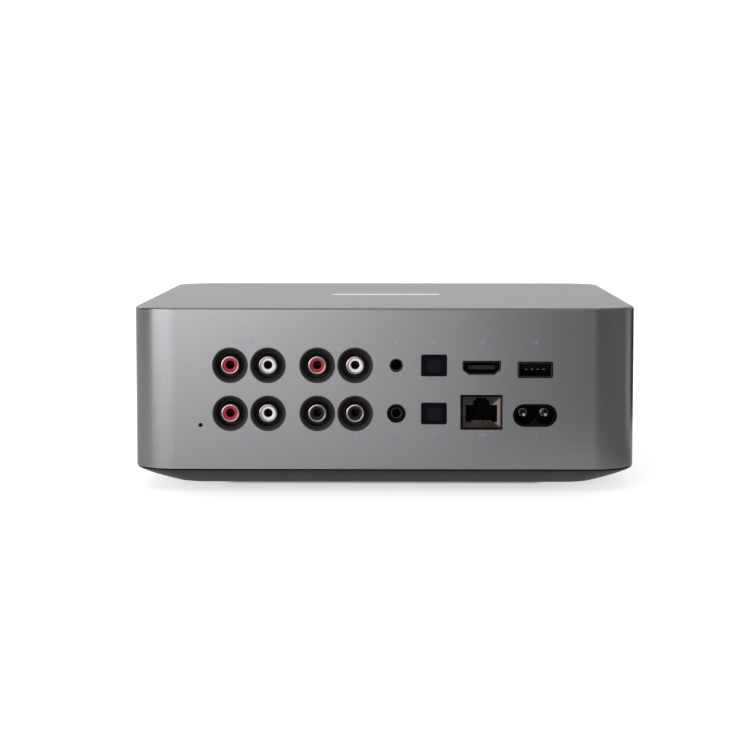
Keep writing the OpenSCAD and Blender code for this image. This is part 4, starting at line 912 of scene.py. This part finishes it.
def sweep_material():
    """White sheet with a glow of its own, which only rays from the camera, reflections and
    transmission see. The glow follows the table above with the distance from a square of half width
    FOOT_HALF below the unit. It is weak near the base, a painted shadow under and round it. Along X
    it grows GLOW_SQUEEZE times as fast, so the painted shadow is narrower at the sides. From below
    the sheet is clear."""
    material, tree, shader, place = start_material("white_sweep", 0.0)
    tree.nodes.remove(shader)
    diffuse = tree.nodes.new("ShaderNodeBsdfDiffuse")
    diffuse.inputs["Color"].default_value = FLOOR_GREY

    vector = place
    for operation, other in (
        ("ABSOLUTE", None),
        ("SUBTRACT", (FOOT_HALF, FOOT_HALF, 0)),
        ("MAXIMUM", (0, 0, 0)),
        ("MULTIPLY", (GLOW_SQUEEZE, 1, 1)),
        ("LENGTH", None),
    ):
        step = tree.nodes.new("ShaderNodeVectorMath")
        step.operation = operation
        tree.links.new(vector, step.inputs[0])
        if other:
            step.inputs[1].default_value = other
        vector = step.outputs[0]
    # Strength of the glow by distance. Its drop near the base is a painted shadow.
    levels = tree.nodes.new("ShaderNodeValToRGB")
    stops = levels.color_ramp.elements
    while len(stops) < len(GLOW_AND_PAINTED_SHADOW):
        stops.new(0.5)
    for stop, (distance, level) in zip(stops, GLOW_AND_PAINTED_SHADOW):
        stop.position, stop.color = distance / GLOW_REACH, (level, level, level, 1)
    tree.links.new(ramp(tree, step.outputs["Value"], 0.0, GLOW_REACH), levels.inputs["Fac"])

    path = tree.nodes.new("ShaderNodeLightPath")
    seen = path.outputs["Is Camera Ray"]
    for name in ("Is Glossy Ray", "Is Transmission Ray"):
        seen = reckon(tree, "MAXIMUM", seen, path.outputs[name])
    glow = tree.nodes.new("ShaderNodeEmission")
    strength = reckon(tree, "MULTIPLY", levels.outputs["Color"], seen)
    tree.links.new(strength, glow.inputs["Strength"])
    both = tree.nodes.new("ShaderNodeAddShader")
    tree.links.new(diffuse.outputs[0], both.inputs[0])
    tree.links.new(glow.outputs[0], both.inputs[1])

    side = tree.nodes.new("ShaderNodeNewGeometry")
    clear = tree.nodes.new("ShaderNodeBsdfTransparent")
    choose = tree.nodes.new("ShaderNodeMixShader")
    tree.links.new(side.outputs["Backfacing"], choose.inputs[0])
    tree.links.new(both.outputs[0], choose.inputs[1])
    tree.links.new(clear.outputs[0], choose.inputs[2])
    tree.links.new(choose.outputs[0], tree.nodes["Material Output"].inputs["Surface"])
    return material


sweep, sweep_rows = sweep_points(half_width=3.0, front=3.0, back=-1.3, bend=0.4, height=1.6)
# The order of each quad's corners is reversed, so that the floor faces up.
sweep_faces = grid_faces(sweep_rows, 2)[:, ::-1]
sweep_mesh = bpy.data.meshes.new("white_sweep")
sweep_mesh.from_pydata(sweep.tolist(), [], sweep_faces.tolist())
sweep_mesh.shade_smooth()
sweep_mesh.materials.append(sweep_material())
backdrop = bpy.data.objects.new("white_sweep", sweep_mesh)
scene.collection.objects.link(backdrop)
print("sweep normal of the floor", [round(v, 2) for v in sweep_mesh.polygons[0].normal])

# %% [markdown]
# ## Light
# The panel is bright at the left of the picture and falls off to the right, with a bright band
# where the left corner starts to turn. So one large soft light stands behind the camera to its
# left. A weaker one overhead lights the floor, and one on the far side lights the front for other
# views. The world adds a dim grey from the sides and a lighter one from above.


# %% Soft lights and world
def soft_light(name, place, aim, width, height, watts):
    """Rectangular light at a place, turned towards a point, in metres."""
    data = bpy.data.lights.new(name, "AREA")
    data.shape, data.size, data.size_y, data.energy = "RECTANGLE", width, height, watts
    light = bpy.data.objects.new(name, data)
    scene.collection.objects.link(light)
    light.location = place
    light.visible_camera = False
    light.rotation_euler = (Vector(aim) - Vector(place)).to_track_quat("-Z", "Y").to_euler()
    return light


MIDDLE = (0.0, 0.0, 0.04)
SIDE_GREY, CEILING_GREY = (0.20, 0.20, 0.205), (0.70, 0.70, 0.715)
soft_light("key_light", (0.82, 1.14, 0.27), MIDDLE, width=1.90, height=0.66, watts=22.5)
soft_light("top_light", (0.20, 0.00, 1.40), MIDDLE, width=1.2, height=1.2, watts=4.0)
soft_light("front_light", (0.75, -1.10, 0.80), MIDDLE, width=0.8, height=0.8, watts=6.0)

world = bpy.data.worlds.new("studio")
world.use_nodes = True
scene.world = world
sky = world.node_tree
direction = sky.nodes.new("ShaderNodeSeparateXYZ")
sky.links.new(sky.nodes.new("ShaderNodeTexCoord").outputs["Generated"], direction.inputs[0])
rise = between(sky, direction.outputs["Z"], 0.0, 1.0)
grey = blend(sky, rise, SIDE_GREY, CEILING_GREY)
sky.links.new(grey, sky.nodes["Background"].inputs["Color"])

# %% [markdown]
# ## Cards
# Satin metal is dark only where something dark is reflected in it. A photographer stands cards out
# of sight for that. A grey one lies on the floor to the right of the picture and then stands up. A
# dark one stands beside the unit and gives the right end of the panel its dark edge. It is lower
# than the case, so the top can't mirror it. Only reflections see the cards.

# %% Cards on the right
CARD_TURNS = ((-0.07, 0.52), (-0.34, 0.44), (-0.32, 0.02))
CARD_STEPS, CARD_HEIGHT, CARD_LAP = 24, 0.20, 0.45
DARK_ENDS, DARK_HEIGHT = ((-0.285, -0.07), (-0.112, -0.16)), 0.07
OFF_FLOOR = 0.001


def grey_points():
    """Sheet along a quadratic curve on the floor. It lies flat from the share CARD_LAP of the way
    out, then stands up."""
    t = np.linspace(0, 1, CARD_STEPS)[:, None]
    start, pull, end = (np.array(turn) for turn in CARD_TURNS)
    path = (1 - t) ** 2 * start + 2 * t * (1 - t) * pull + t**2 * end
    lines = ((CARD_LAP, OFF_FLOOR), (1, OFF_FLOOR), (1, CARD_HEIGHT))
    rows = [np.insert(share * path, 2, level, axis=1) for share, level in lines]
    return np.stack(rows, 1).reshape(-1, 3), grid_faces(CARD_STEPS, len(lines))


def dark_points():
    """Upright sheet between two places on the floor."""
    points = [(*end, level) for end in DARK_ENDS for level in (OFF_FLOOR, DARK_HEIGHT)]
    return np.array(points), grid_faces(2, 2)


def stand_card(name, points, faces):
    """Card that only reflections see, with the finish of its name."""
    mesh = bpy.data.meshes.new(name)
    mesh.from_pydata(points.tolist(), [], faces.tolist())
    mesh.materials.append(finishes[name])
    card = bpy.data.objects.new(name, mesh)
    scene.collection.objects.link(card)
    card.visible_camera = card.visible_diffuse = card.visible_shadow = False
    print(name, "of", len(mesh.polygons), "faces")


stand_card("grey_card", *grey_points())
stand_card("dark_card", *dark_points())
